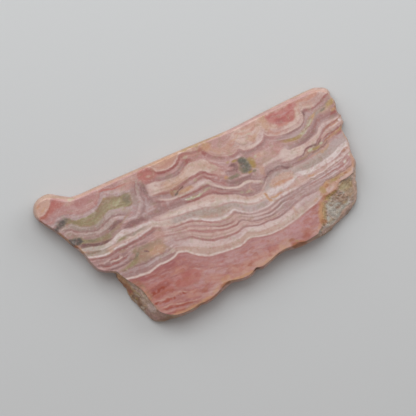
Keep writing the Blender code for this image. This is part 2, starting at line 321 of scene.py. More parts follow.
MIDDLE_BANDS = (
    # rose band under the lobes
    ("deep_rose", 0, 1.9, 17, 40, 0.9), ("red", 0, 1.35, 17, 24, 0.9, 0.3),
    ("dark_red", 0.05, 0.6, 22.3, 31.5, 0.85, 0.25), ("rose", 0.6, 1.2, 22, 31, 0.6),
    ("mauve", 1.15, 1.95, 22.5, 31.5, 0.8, 0.3), ("brick", 0.1, 0.9, 31, 35, 0.45, 0.4),
    ("salmon", 0.3, 1.2, 33, 37, 0.5, 0.4), ("dark_red", 1.1, 1.9, 31, 34, 0.65, 0.4),
    ("deep_rose", 1.2, 1.9, 34, 39, 0.6, 0.3), ("rose", 0, 2, 39, 58, 0.9),
    ("deep_rose", 0.05, 0.75, 38, 55.5, 0.8, 0.3), ("plum", 0.2, 1.3, 47, 55.5, 0.45, 0.4),
    ("deep_rose", 0, 0.5, 55, 60, 0.6), ("mauve", 0.05, 1.6, 59, 99, 0.95, 0.2),
    ("plum", 0, 0.5, 60, 68.6, 0.7, 0.25), ("dark_red", 0, 0.45, 67.8, 72, 0.6, 0.25),
    ("dark_red", 0, 0.6, 71, 99, 0.85, 0.2), ("rose", 0.5, 1.1, 68.8, 99, 0.6, 0.25),
    ("mauve", 1.1, 1.7, 68.5, 99, 0.6, 0.2), ("lilac", 0.9, 1.5, 60, 67, 0.5, 0.25),
    # pale band of the middle
    ("cream", 1.95, 3.45, 19, 41, 1), ("blush", 1.9, 2.5, 19, 30, 0.5, 0.3),
    ("apricot", 2.05, 3.45, 24, 30.5, 0.55, 0.4), ("apricot", 2.85, 3.45, 21.5, 29.5, 0.6, 0.3),
    ("white", 2.2, 3.2, 31, 37, 0.35, 0.4), ("peach", 2.3, 3, 34, 40.5, 0.4, 0.3),
    # B to C
    ("mauve", 3.5, 4.95, 19, 27, 0.9), ("brick", 3.45, 4, 21, 26.5, 0.45, 0.3),
    ("rust", 3.5, 4.2, 25, 27, 0.5, 0.3), ("dark_red", 3.5, 3.85, 27.5, 37, 0.75, 0.15),
    ("rose", 3.85, 4.3, 29, 40, 0.7, 0.2), ("deep_rose", 3.5, 4.3, 36, 40.5, 0.4, 0.2),
    ("plum", 4.15, 4.45, 28, 38.5, 0.55, 0.15), ("apricot", 4.4, 4.95, 27.6, 32, 0.85, 0.2),
    ("blush", 4.4, 4.95, 31.5, 36.5, 0.9, 0.2), ("rose", 4.3, 4.9, 36.3, 41, 0.8, 0.2),
    ("dark_red", 4.35, 4.65, 36.3, 40, 0.6, 0.15), ("plum", 4, 4.8, 41, 50.5, 0.75, 0.2),
    ("mauve", 3.7, 4.2, 41, 50, 0.6, 0.2), ("cream", 4.85, 5.2, 21.2, 28, 0.75),
    ("blush", 4.85, 5.15, 27, 36, 0.6, 0.12), ("cream", 4.82, 5.2, 35.5, 50.6, 0.9),
    ("brick", 5.3, 5.75, 36.5, 45, 0.6),
    # C to M1
    ("plum", 5.2, 6, 19, 28, 0.7), ("deep_rose", 5.3, 5.9, 20, 28, 0.4, 0.3),
    ("dark_red", 5.2, 5.6, 26.5, 36, 0.75), ("dark_red", 5.1, 5.45, 21.5, 28, 0.35),
    ("mauve", 5.45, 5.75, 27, 36, 0.7), ("plum", 5.2, 5.55, 36, 42.5, 0.75),
    ("rose", 5.5, 5.75, 36, 42, 0.6), ("plum", 5.7, 5.95, 36.5, 43, 0.65),
    ("mauve", 5.2, 6.3, 42.5, 50.8, 0.75), ("plum", 5.9, 6.6, 19, 29, 0.6, 0.3),
    ("dark_red", 6.1, 6.75, 27.5, 36, 0.65, 0.2), ("plum", 6.15, 6.65, 36, 42, 0.75, 0.2),
    ("dark_red", 6, 6.5, 35, 41.5, 0.45, 0.2), ("plum", 6.2, 6.75, 41.5, 50.8, 0.6, 0.25),
    # M1 to W3
    ("blush", 6.7, 8.8, 19, 50, 0.95, 0.3), ("salmon", 6.75, 7.4, 27, 40, 0.35, 0.4),
    ("peach", 6.9, 8, 34, 43, 0.45, 0.4), ("cream", 7.6, 9.1, 20, 50, 0.8, 0.3),
    ("salmon", 6.9, 7.7, 42, 50, 0.4, 0.3), ("white", 8.2, 9, 24, 40, 0.4, 0.3),
    ("white", 8.3, 9.05, 38, 49.5, 0.6, 0.25),
    # right of the second lobe
    ("rose", 1.6, 3.7, 50, 61, 0.75, 0.3), ("salmon", 2.7, 3.6, 50, 59, 0.4, 0.3),
    ("deep_rose", 1.9, 2.9, 55.3, 59.3, 0.55, 0.4), ("apricot", 2.1, 2.75, 49.5, 53.5, 0.55, 0.3),
    ("ochre", 1.6, 2.3, 60.3, 65.4, 0.9, 0.2), ("mustard", 1.65, 2.15, 61.6, 63.6, 0.7, 0.2),
    ("tan", 1.35, 2.1, 64.2, 68, 0.8, 0.2), ("pale_green", 1.5, 1.9, 65, 69, 0.4, 0.2),
    ("brown", 1.55, 1.75, 66.5, 69, 0.4, 0.12), ("ochre", 1.45, 2.2, 68.5, 71.6, 0.85, 0.2),
    ("grey", 1.6, 2.3, 71.3, 74.8, 0.75, 0.3), ("ochre", 1.7, 2.3, 73.8, 77.2, 0.75, 0.25),
    ("olive", 1.3, 1.7, 72, 77, 0.4, 0.2), ("lilac", 2.25, 2.5, 64, 72, 0.6),
    ("mauve", 2.4, 3.45, 60, 99, 0.9, 0.2), ("salmon", 2.3, 2.8, 60, 64.5, 0.4, 0.2),
    ("apricot", 2.3, 2.75, 73, 77, 0.5, 0.2), ("plum", 2.75, 3.35, 63.5, 99, 0.7, 0.25),
    ("dark_red", 2.6, 3.1, 68, 72, 0.3, 0.2), ("deep_rose", 2.7, 3.2, 72, 99, 0.4, 0.2),
    ("cream", 3.5, 4.85, 56.6, 65, 1, 0.3), ("blush", 3.45, 4.95, 64, 99, 0.95, 0.15),
    ("peach", 3.8, 4.6, 65, 70, 0.6, 0.3), ("blush", 3.6, 4.3, 50, 57, 0.8, 0.2),
    ("lilac", 3.5, 4.6, 70.5, 73.5, 0.3, 0.2), ("mauve", 4.3, 6.6, 51, 57, 0.8, 0.3),
    ("grey", 5.6, 6.6, 51.5, 56.5, 0.35, 0.3), ("plum", 4.9, 5.25, 50.5, 57.5, 0.45, 0.2),
    ("plum", 4.85, 5.15, 56.5, 64, 0.6), ("mauve", 5.05, 6.5, 56.5, 64.5, 0.85),
    ("apricot", 5.5, 6, 61, 65, 0.5, 0.25), ("dark_plum", 4.85, 5.2, 63.8, 69.5, 0.85),
    ("tan", 5.2, 6, 64.4, 70, 0.55), ("plum", 6.05, 6.5, 60.5, 71, 0.75),
    ("deep_rose", 4.95, 5.3, 69, 99, 0.8), ("blush", 5.3, 5.7, 70, 99, 0.7),
    ("rust", 5.5, 5.65, 70, 99, 0.35), ("plum", 5.75, 6.05, 69, 77, 0.75), ("rust", 6, 6.4, 69.5, 99, 0.75),
    ("orange", 6.05, 6.3, 72.5, 76.5, 0.5), ("dark_red", 6.4, 6.6, 70.5, 76, 0.55),
    ("brown", 5.85, 6, 72, 77, 0.3), ("apricot", 6.5, 6.9, 66, 71.5, 0.55),
    ("plum", 6.4, 6.8, 50.5, 59, 0.9, 0.2), ("mauve", 6.6, 6.8, 58, 66, 0.4),
    ("grey_beige", 6.8, 8.5, 50, 99, 0.95, 0.2), ("mauve", 6.8, 7.5, 51, 56, 0.45, 0.4),
    ("blush", 6.85, 7.5, 58, 68, 0.4, 0.3), ("lilac", 6.8, 7.9, 70, 76, 0.6, 0.4),
    ("taupe", 7.2, 8.2, 60, 70, 0.35, 0.4), ("grey_beige", 7.4, 8.2, 68, 76, 0.5, 0.3),
    ("white", 8.2, 9.15, 49.5, 62, 0.85, 0.25), ("white", 8.3, 9.25, 60, 99, 0.9, 0.2),
)
BASIN_BANDS = (
    ("rose", -20, 0.1, -99, 18.5, 1), ("deep_rose", -1.3, -0.2, -5, 6, 0.5, 0.5),
    ("pink", -20, -1.2, -5, 7, 0.25, 0.5), ("lilac", 0, 1.5, -99, 15.5, 0.85, 0.3),
    ("mauve", 0, 0.4, -5, 5.5, 0.4, 0.3), ("olive", 1.45, 3.75, -4.5, 14.6, 1, 0.25),
    ("lilac", 3.75, 5.25, -8, 18.5, 0.9, 0.2), ("taupe", 3.75, 5.2, -8, 9, 0.6, 0.25),
    ("mauve", 4.6, 5.2, -8, 14, 0.5, 0.25), ("pale_lilac", 5.5, 6.4, -3, 10, 0.85, 0.2),
    ("lilac", 5.4, 6.5, 9, 18.5, 0.9, 0.2), ("plum", 6.4, 7.3, 4, 10, 0.7, 0.25),
    ("mauve", 6.6, 7.4, -3, 4, 0.6, 0.2), ("olive", 7.1, 7.9, -6.3, 6, 0.85, 0.25),
    ("mauve", 7.3, 8.5, 5, 9.5, 0.6, 0.3), ("plum", 6.9, 8.4, 9.3, 15.8, 0.7, 0.3),
    ("deep_rose", 7.2, 8.3, 9.5, 15, 0.4, 0.4), ("mauve", 6.5, 8.4, 15, 20, 0.8, 0.3),
    ("plum", 7.2, 8.3, 15, 19, 0.5, 0.3), ("dark_plum", 8, 8.6, -4.3, 3.9, 0.8, 0.2),
)
LOWER_BANDS = (
    # W3 .. W2
    ("grey_beige", 9.4, 10.8, 19, 51, 1, 0.3), ("beige", 9.4, 10.8, 14, 22, 0.8, 0.3),
    ("taupe", 9.45, 10.75, -4.5, 3, 1, 0.2), ("tan", 10.2, 10.8, 1.5, 5.5, 0.6, 0.3),
    ("taupe", 9.4, 10.3, 6, 9, 0.85, 0.3), ("olive", 9.5, 10.2, 6.2, 8.3, 0.35, 0.3),
    ("beige", 9.9, 10.8, 7, 15, 0.7, 0.4), ("taupe", 9.5, 10.3, 10, 15, 0.85, 0.25),
    ("blush", 9.4, 10.3, 14, 16.5, 0.6, 0.2), ("cream", 9.1, 10.2, 16, 22, 0.5, 0.5),
    ("taupe", 9.1, 10.2, 27, 36, 0.6, 0.4), ("taupe", 9.2, 10.5, 35, 42.5, 0.45, 0.4),
    ("blush", 10.2, 10.8, 29, 42, 0.6, 0.3), ("tan", 9.9, 10.6, 30, 39, 0.25, 0.3),
    ("apricot", 10.3, 10.8, 30, 34, 0.25, 0.2), ("lilac", 9.7, 10.7, 40, 52, 0.65, 0.4),
    ("cream", 9, 9.6, 41, 50, 0.5, 0.3), ("blush", 9.3, 10.8, 50, 99, 0.9, 0.2),
    ("salmon", 9.6, 10.6, 53, 66, 0.55, 0.3), ("rose", 9.3, 9.8, 60, 74, 0.5, 0.2),
    ("white", 8.62, 9.45, -5, 4.5, 0.95, 0.2), ("white", 8.35, 9.75, 4, 6.6, 0.95, 0.2),
    ("white", 8.2, 9.45, 6, 9.6, 0.95, 0.2), ("white", 8.6, 9.4, 9.4, 14, 0.95, 0.2),
    ("white", 8.75, 9.65, 13.5, 18.5, 0.85, 0.25), ("white", 10.72, 11.22, -5, 16.8, 0.95),
    ("cream", 10.7, 11.2, 16, 28, 0.75), ("white", 10.7, 11.2, 26.5, 40, 0.9),
    ("white", 10.75, 11.2, 39, 54, 0.8), ("blush", 10.75, 11.4, 54, 99, 0.8),
    # W2 .. W1
    ("rose", 11.15, 15.9, -99, 20, 0.85), ("blush", 11.15, 15.9, 18, 53, 0.9),
    ("salmon", 11.2, 15.9, 22, 42, 0.35), ("rose", 11.2, 15.9, 39, 54, 0.3),
    ("lilac", 11.3, 15.4, 51, 70, 0.8), ("mauve", 11.3, 15.4, 53, 64, 0.35),
    ("plum", 11.25, 11.9, -3.5, 16.3, 0.9), ("dark_red", 11.3, 11.75, -3, 16, 0.55),
    ("deep_rose", 11.2, 11.65, 12, 17, 0.4), ("deep_rose", 11.25, 11.75, 20.5, 39.5, 0.9),
    ("plum", 11.3, 11.85, 39, 44, 0.85), ("mauve", 11.3, 11.9, 43, 70, 0.7),
    ("plum", 12.35, 13.05, -2.8, 6.5, 0.85), ("mauve", 12.4, 13, 8, 14, 0.7),
    ("rose", 12.5, 12.95, 17, 40, 0.6), ("dark_red", 12.5, 12.85, 33.5, 37, 0.6),
    ("deep_rose", 12.45, 12.95, 22, 32, 0.5), ("plum", 12.5, 12.95, 38.8, 47, 0.65),
    ("plum", 12.4, 13.05, 46, 61, 0.65), ("white", 12.05, 12.35, 42, 56, 0.4),
    ("pale_green", 12, 12.4, 32.5, 35, 0.4, 0.3), ("dark_plum", 13.4, 14.25, -2.3, 7, 0.75),
    ("dark_red", 13.5, 14.1, -1, 6, 0.35), ("deep_rose", 13.5, 14, 17, 27, 0.7),
    ("deep_rose", 13.5, 14.05, 25.5, 40, 1), ("dark_red", 13.55, 13.95, 33.5, 39.5, 0.6),
    ("cream", 13.05, 13.4, 33, 40, 0.6), ("white", 13.1, 13.4, 42, 56, 0.45),
    ("plum", 13.5, 14.05, 39, 52, 0.75), ("dark_red", 14.55, 14.8, 43, 54, 0.35),
    ("mauve", 13.4, 14, 51, 63, 0.7), ("dark_plum", 15.25, 15.85, -1.6, 7.7, 0.8),
    ("rose", 15.3, 15.8, 17, 25, 0.7), ("deep_rose", 15.3, 15.9, 24, 40.5, 1),
    ("plum", 15.25, 15.85, 40, 54, 0.8), ("deep_rose", 15.3, 15.8, 40, 50, 0.35),
    ("mauve", 14.9, 15.9, 53, 63, 0.5), ("mauve", 16, 18.6, -99, 19, 0.8),
    ("plum", 16.6, 17.1, 3, 17.5, 0.75), ("dark_plum", 16.65, 17, 3, 6, 0.6),
    ("lilac", 17.1, 17.65, 3, 18.5, 0.9), ("plum", 17.75, 18.45, 3, 19.5, 0.75),
    ("deep_rose", 17.9, 18.5, 10, 19, 0.35), ("pale_lilac", 15.9, 17.35, 19, 64, 0.95, 0.3),
    ("blush", 16.1, 17.2, 24, 36, 0.6, 0.4), ("cream", 16.2, 17.2, 41, 54, 0.4, 0.4),
    ("beige", 17.3, 18.75, 18.5, 64, 0.95, 0.3), ("salmon", 17.3, 18.5, 20, 50, 0.4, 0.4),
    ("cream", 18.6, 19.1, -99, 61, 1, 0.15), ("white", 18.68, 18.98, -99, 61, 0.5, 0.15),
)
BASE_BANDS = (
    ("rose", 19.1, 99, -99, 99, 1), ("deep_rose", 20.5, 99, -99, 21, 0.9, 0.5),
    ("crimson", 19.05, 20.7, 4, 21, 0.85, 0.5), ("dark_red", 19.05, 19.5, 4, 23, 0.6, 0.2),
    ("deep_rose", 19.1, 19.6, 18, 62, 0.8, 0.25), ("deep_rose", 19.3, 23.5, 19, 32, 0.6, 0.5),
    ("brick", 22, 99, 6, 24, 0.25, 2),
)

# Thin laminae: pale mineral, dark mineral, from layer, to layer, length of a line, lines per layer,
# strength.
LAMINAE = (
    ("pale_lilac", "plum", -2, 6.8, 6.0, 2.9, 0.24), ("white", "dark_plum", -2, 6.8, 3.5, 5.3, 0.13),
    ("white", "mauve", 6.8, 11, 8.0, 1.7, 0.12), ("white", "mauve", 6.8, 11, 5.0, 5.0, 0.1),
    ("blush", "plum", 11, 15.9, 7.0, 3.1, 0.24), ("white", "dark_plum", 11, 15.9, 4.0, 5.3, 0.12),
    ("white", "plum", 15.9, 19.2, 7.0, 2.1, 0.14), ("peach", "deep_rose", -20, 0, 5.0, 1.6, 0.26),
    ("blush", "crimson", 19.2, 99, 5.0, 2.3, 0.26), ("pink", "crimson", 19.2, 99, 2.4, 4.6, 0.22),
)

# The bands lean as they go down into the slice: shift in u and in v for each millimetre of depth.
DIP = (0.15, 0.35)
# The noise's own lean, so that the pattern on the walls isn't a copy of the rim's.
NOISE_DIP = (0.8, -0.6)
# How the drawing is loosened: amount, size along u, size along v and seed of each wave.
U_WAVES = ((0.14, 1.7, 1.7, 11), (0.06, 0.6, 0.6, 12))
V_WAVES = ((0.07, 1.6, 1.2, 13), (0.035, 0.5, 0.4, 14))
LOOSE_U_WAVES = ((0.30, 1.2, 1.2, 17), (0.13, 0.45, 0.45, 18))
LOOSE_V_WAVES = ((0.24, 1.2, 1.1, 19), (0.11, 0.45, 0.4, 20))
GRAIN_EDGE = 0.3  # how much noise it takes to go from no grain to a full one
FINE_SHARE = 0.4  # strength of the finer noise that roughens a grain's outline
FINE_RATIO = 2.3  # how much finer it is

# Grains scattered over a region: mineral, size in millimetres, least noise that shows it, strength.
ROCK_GRAINS = (
    ("tan", 2.6, 0.0, 0.7), ("ochre", 1.5, 0.25, 0.6), ("taupe", 1.9, 0.2, 0.6), ("quartz", 1.3, 0.3, 0.8),
    ("grey", 0.9, 0.5, 0.55), ("brown", 0.6, 0.55, 0.75), ("peach", 0.8, 0.4, 0.6),
    ("quartz", 0.45, 0.6, 0.7), ("dark_brown", 0.4, 0.7, 0.6),
)
# Stains on the ragged, lower and left walls. Their broad pale blush and apricot grains are also painted
# light: they lighten these walls where they turn from the light and lie in shade.
EDGE_STAINS_AND_PAINTED_LIGHT = (
    ("blush", 1.9, -0.6, 0.6), ("apricot", 1.3, 0.1, 0.5), ("brown", 1, 0.6, 0.3), ("rust", 0.8, 0.5, 0.4),
    ("quartz", 0.8, 0.5, 0.35),
)
GROUND_STAINS = (("peach", 1.8, -0.6, 0.55), ("cream", 1.1, 0.2, 0.25), ("tan", 2.6, 0, 0.35))
FACE_GRAINS = (
    ("dark_red", 0.8, 0.55, 0.16), ("white", 0.7, 0.55, 0.16), ("olive", 1.0, 0.6, 0.2),
    ("red", 0.45, 0.65, 0.25), ("white", 0.4, 0.65, 0.2),
)
BASE_GRAINS = (
    ("crimson", 1.1, 0.45, 0.2), ("coral", 0.8, 0.45, 0.35), ("red", 0.5, 0.35, 0.35),
    ("pink", 0.45, 0.5, 0.4), ("brick", 0.8, 0.55, 0.3),
)

BASE_START = 18.7  # the layer where the red base's own grains come in
RIM_DEPTH = 0.5  # depth below the polished face over which the walls' own stains come in
MATRIX_COVER = 0.9  # how much of the broken walls the grey matrix covers
STEEP_TINT = 0.3
MARK_DEPTH = 0.7  # depth where the rim's marks start to fade on the unbroken walls
MARK_FADE = 1.8  # depth over which they fade out


def smooth(t):
    """0 below 0, 1 above 1 and an even turn between them."""
    t = np.clip(t, 0, 1)
    return t * t * (3 - 2 * t)


def lattice(column, row, seed):
    """A fixed random number from 0 to 1 for each lattice point."""
    mixed = (column * 374761393 + row * 668265263 + seed * 974634777) & 0xFFFFFFFF
    mixed = ((mixed ^ (mixed >> 13)) * 1274126177) & 0xFFFFFFFF
    return ((mixed ^ (mixed >> 16)) & 0xFFFF) / 0xFFFF


def noise(x, y, seed):
    """Smooth noise from -1 to 1, with one bump a unit or so."""
    column = np.floor(x).astype(np.int64)
    row = np.floor(y).astype(np.int64)
    across = smooth(x - column)
    down = smooth(y - row)
    upper = lattice(column, row, seed) * (1 - across) + lattice(column + 1, row, seed) * across
    lower = lattice(column, row + 1, seed) * (1 - across) + lattice(column + 1, row + 1, seed) * across
    return 2 * (upper * (1 - down) + lower * down) - 1


def solid_noise(x, y, z, seed):
    """Noise in three directions, the same as the plain noise where z is 0."""
    level = np.floor(z).astype(np.int64)
    share = smooth(z - level)
    here = noise(x, y, seed + 1000 * level)
    below = noise(x, y, seed + 1000 * level + 1000)
    return here + (below - here) * share


def curve_through(points, u):
    """The smooth curve through the points: v at each u, or the other way round."""
    x, y = np.array(points, float).T
    steps = np.diff(x)
    rises = np.diff(y) / steps
    slopes = np.concatenate((rises[:1], rises[:1], rises[1:]))
    slopes[1:-1] = (rises[:-1] * steps[1:] + rises[1:] * steps[:-1]) / (steps[1:] + steps[:-1])
    k = np.clip(np.searchsorted(x, u) - 1, 0, len(x) - 2)
    step = steps[k]
    t = np.clip((u - x[k]) / step, 0, 1)
    ends = (1 + 2 * t) * (1 - t) ** 2 * y[k] + t * t * (3 - 2 * t) * y[k + 1]
    return ends + step * (t * (1 - t) ** 2 * slopes[k] - t * t * (1 - t) * slopes[k + 1])


def layer_in(stack, u, v):
    """The layer number of each point between the bedding lines of a stack."""
    numbers = [number for number, points in stack]
    depths = [curve_through(stack[0][1], u)]
    for number, points in stack[1:]:
        depths.append(np.maximum(curve_through(points, u), depths[-1] + 0.05))
    layer = numbers[0] + (v - depths[0])
    for k in range(len(stack) - 1):
        share = (v - depths[k]) / (depths[k + 1] - depths[k])
        layer = np.where(v >= depths[k], numbers[k] + share * (numbers[k + 1] - numbers[k]), layer)
    return layer


def basin_share(u, v):
    """How much the basin's bedding lines hold: 1 left of the fold and 0 right of it.

    The turn is 0.9 mm wide, and widens to 4 mm below the fold's foot and to 2.2 mm near the straight edge.
    """
    width = 0.9 + 3.1 * smooth((v - 9) / 3) + 1.3 * smooth((4.5 - v) / 1.5)
    share = smooth((curve_through(FOLD_EDGE, v) - FOLD_COVER - u) / width + 0.5)
    return np.where(v < curve_through(MIDDLE_WHITE, u), share, 0)


def layer_numbers(u, v):
    """The layer number of each point of the slice."""
    upper = np.where(basin_share(u, v) > 0.5, layer_in(BASIN_STACK, u, v), layer_in(UPPER_STACK, u, v))
    layer = np.where(v < curve_through(MIDDLE_WHITE, u), upper, layer_in(LOWER_STACK, u, v))
    lines = [(number, curve_through(points, u)) for number, points in RIPPLES]
    raw = layer.copy()
    for (low, drawn_low), (high, drawn_high) in zip(lines, lines[1:]):
        share = (raw - drawn_low) / (drawn_high - drawn_low)
        layer = np.where((raw >= drawn_low) & (raw < drawn_high), low + share * (high - low), layer)
    return layer


def distance_to_line(points, u, v):
    """The distance from each point to a drawn line, and how far along the line its nearest place is."""
    ends = np.array(points, float)
    lengths = np.linalg.norm(np.diff(ends, axis=0), axis=1)
    starts = np.concatenate(([0.0], np.cumsum(lengths)))
    nearest = np.full(u.shape, np.inf)
    along = np.zeros(u.shape)
    for (u0, v0), (u1, v1), start, length in zip(ends, ends[1:], starts, lengths):
        share = np.clip(((u - u0) * (u1 - u0) + (v - v0) * (v1 - v0)) / length**2, 0, 1)
        distance = np.hypot(u - u0 - share * (u1 - u0), v - v0 - share * (v1 - v0))
        along = np.where(distance < nearest, (start + share * length) / starts[-1], along)
        nearest = np.minimum(distance, nearest)
    return nearest, along


def inside_outline(points, u, v):
    """True for each point inside the closed outline."""
    inside = np.zeros(u.shape, bool)
    for (u0, v0), (u1, v1) in zip(points, np.roll(points, -1, axis=0)):
        crosses = (v0 > v) != (v1 > v)
        if v0 != v1:
            inside ^= crosses & (u < u0 + (v - v0) * (u1 - u0) / (v1 - v0))
    return inside


def waves(p, q, rows):
    """A sum of noises. Each row is amount, size along p, size along q and seed."""
    return sum(amount * noise(p / along, q / across, seed) for amount, along, across, seed in rows)


class Canvas:
    """The mesh points in the drawing, and the colour painted on each of them."""

    def __init__(self, u, v, depth):
        p = u + NOISE_DIP[0] * depth
        q = v + NOISE_DIP[1] * depth
        self.depth = depth
        self.u = u + DIP[0] * depth + waves(p, q, U_WAVES)
        self.v = v + DIP[1] * depth + waves(p, q, V_WAVES)
        self.layer = layer_numbers(self.u, self.v)
        # A band ends where its reach says, and its strength varies with its flow.
        self.reach = self.u + 1.6 * noise(self.u / 3.0, self.layer * 2.2, 15)
        self.flow = 1 + 0.22 * noise(self.u / 2.3, self.layer * 2.6, 16)
        self.loose_u = u + waves(p, q, LOOSE_U_WAVES)
        self.loose_v = v + waves(p, q, LOOSE_V_WAVES)
        self.colour = np.tile(np.array(MINERALS["rose"], float), u.shape + (1,))

    def lay(self, mineral, amount, where=...):
        """Cover the colour with a mineral, as far as the amount says."""
        amount = np.clip(amount, 0, 1)[..., None]
        self.colour[where] += (np.array(MINERALS[mineral]) - self.colour[where]) * amount

    def band(self, mineral, low, high, start, end, strength, soft=0.15, fade=3.0):
        """A growth band between two layer numbers, from one u to another."""
        where = (self.layer > low - soft) & (self.layer < high + soft)
        where &= (self.reach > start - fade) & (self.reach < end + fade)
        layer = self.layer[where]
        reach = self.reach[where]
        across = smooth((layer - low) / soft + 0.5) * smooth((high - layer) / soft + 0.5)
        along = smooth((reach - start) / fade + 0.5) * smooth((end - reach) / fade + 0.5)
        self.lay(mineral, across * along * strength * self.flow[where], where)

    def near(self, points, reach):
        """The points in the box round a drawn line."""
        low_u, low_v = np.min(points, axis=0) - reach
        high_u, high_v = np.max(points, axis=0) + reach
        where = (self.loose_u > low_u) & (self.loose_u < high_u)
        where &= (self.loose_v > low_v) & (self.loose_v < high_v)
        return where, self.loose_u[where], self.loose_v[where]

    def patch(self, mineral, strength, soft, *points):
        """A filled outline with soft edges."""
        where, u, v = self.near(points, soft)
        distance = distance_to_line(points + points[:1], u, v)[0]
        depth = np.where(inside_outline(points, u, v), distance, -distance)
        self.lay(mineral, smooth(depth / soft + 0.5) * strength, where)

    def stroke(self, mineral, width, strength, soft, *points):
        """A line that thins out towards its ends."""
        where, u, v = self.near(points, width + soft)
        distance, along = distance_to_line(points, u, v)
        half = width / 2 * np.clip(8 * np.minimum(along, 1 - along), 0.25, 1)
        self.lay(mineral, smooth((half - distance) / soft + 0.5) * strength, where)

    def spot(self, mineral, u, v, length, width, strength, soft, tilt=0):
        """An oval of a half length and a half width, turned from u towards v by the tilt in degrees."""
        where, near_u, near_v = self.near(((u, v),), 1.6 * max(length, width))
        turn = math.radians(tilt)
        along = (near_u - u) * math.cos(turn) + (near_v - v) * math.sin(turn)
        across = (near_v - v) * math.cos(turn) - (near_u - u) * math.sin(turn)
        distance = np.hypot(along / length, across / width)
        self.lay(mineral, smooth((1 - distance) / soft + 0.5) * strength, where)


def paint_bands(canvas):
    """The growth bands, with the basin's own on its side of the fold."""
    upper_layer = canvas.layer
    plain = canvas.colour.copy()
    share = basin_share(canvas.u, canvas.v)
    canvas.layer = layer_in(BASIN_STACK, canvas.u, canvas.v)
    for row in BASIN_BANDS:
        canvas.band(*row)
    basin = canvas.colour
    canvas.colour = plain
    canvas.layer = layer_in(UPPER_STACK, canvas.u, canvas.v)
    for row in LOBE_BANDS + MIDDLE_BANDS:
        canvas.band(*row)
    canvas.colour += (basin - canvas.colour) * share[..., None]
    canvas.layer = upper_layer
    for row in LOWER_BANDS + BASE_BANDS:
        canvas.band(*row)


def paint_laminae(canvas):
    """Thin pale and dark lines along the bands."""
    for seed, (pale, dark, low, high, length, fineness, strength) in enumerate(LAMINAE, 30):
        line = noise(canvas.u / length, canvas.layer * fineness, seed)
        held = smooth((canvas.layer - low) / 0.6 + 0.5) * smooth((high - canvas.layer) / 0.6 + 0.5)
        canvas.lay(pale, line * 1.5 * strength * held)
        canvas.lay(dark, -line * 1.5 * strength * held)


def paint_marks(canvas, parts):
    """The marks that cross the bands, part by part in order."""
    for part in parts:
        part(canvas.patch, canvas.stroke, canvas.spot)


def paint_tip(patch, stroke, spot):
    """The pale cap of the tip and its red heart."""
    patch("deep_rose", 0.55, 1.4, (-10, 1.4), (-8, 0.6), (-6, 0.4), (-2, 0.6), (1, 1.2), (2, 2), (-1, 2.6),
        (-5, 2), (-8.5, 2.4), (-11, 2.4))
    patch("red", 0.9, 0.9, (-11.4, 1), (-9.6, 1), (-8.2, 0.3), (-6.4, -1.9), (-5.2, -1.7), (-3, 0.1),
        (-4.4, 0.6), (-9, 1.8), (-11.4, 2.1))
    spot("eye_red", -6, -0.7, 1.1, 0.6, 0.45, 0.9, 35)
    patch("peach", 0.95, 0.25, (-13, -5), (-4, -5), (-6.9, -1.9), (-7.6, -0.6), (-8.5, 0.4), (-10, 0.95),
        (-12.5, 0.8))
    patch("salmon", 0.6, 1.2, (-11, -2.4), (-9, -2.5), (-7.2, -2.1), (-7.9, -0.8), (-9, 0), (-10.5, 0.3),
        (-11.1, -0.6))
    spot("orange", -10.3, -1.8, 0.7, 0.3, 0.5, 0.8, -20)
    spot("orange", -9.4, -0.5, 0.9, 0.3, 0.5, 0.8, -30)
    stroke("brick", 0.5, 0.7, 0.4, (-11.5, 1.4), (-10.2, 1.7), (-9, 1.3), (-7.8, 0.3), (-7, -0.7))
    spot("deep_rose", -8.8, 3.2, 2, 1.2, 0.5, 0.9)
    spot("peach", -2, 0.9, 1.6, 0.8, 0.45, 0.9)
    stroke("deep_rose", 0.5, 0.6, 0.4, (-10.2, 3.6), (-8.9, 3.8), (-7.6, 3.5))
    stroke("deep_rose", 0.7, 0.5, 0.6, (-7.5, 3), (-5.8, 2.6), (-4.2, 2.7), (-3, 3.3), (-1.5, 4.4),
        (0, 4.9), (1.5, 4.9), (3.5, 4.6), (5, 3.9), (6.4, 1.9))
    spot("deep_rose", 2.5, 2.4, 3.8, 1.3, 0.55, 0.9)
    stroke("red", 0.4, 0.95, 0.3, (6.3, 1.35), (8.5, 1.5), (10.4, 2.2), (14.5, 2.6))
    stroke("blush", 0.9, 0.45, 0.8, (6.9, 2.9), (8.5, 2.3), (13.5, 3.9))
    spot("coral", 15, 3.3, 2.8, 1, 0.4, 0.9)
    spot("peach", 15.5, 1.9, 2.5, 0.7, 0.5, 0.9)


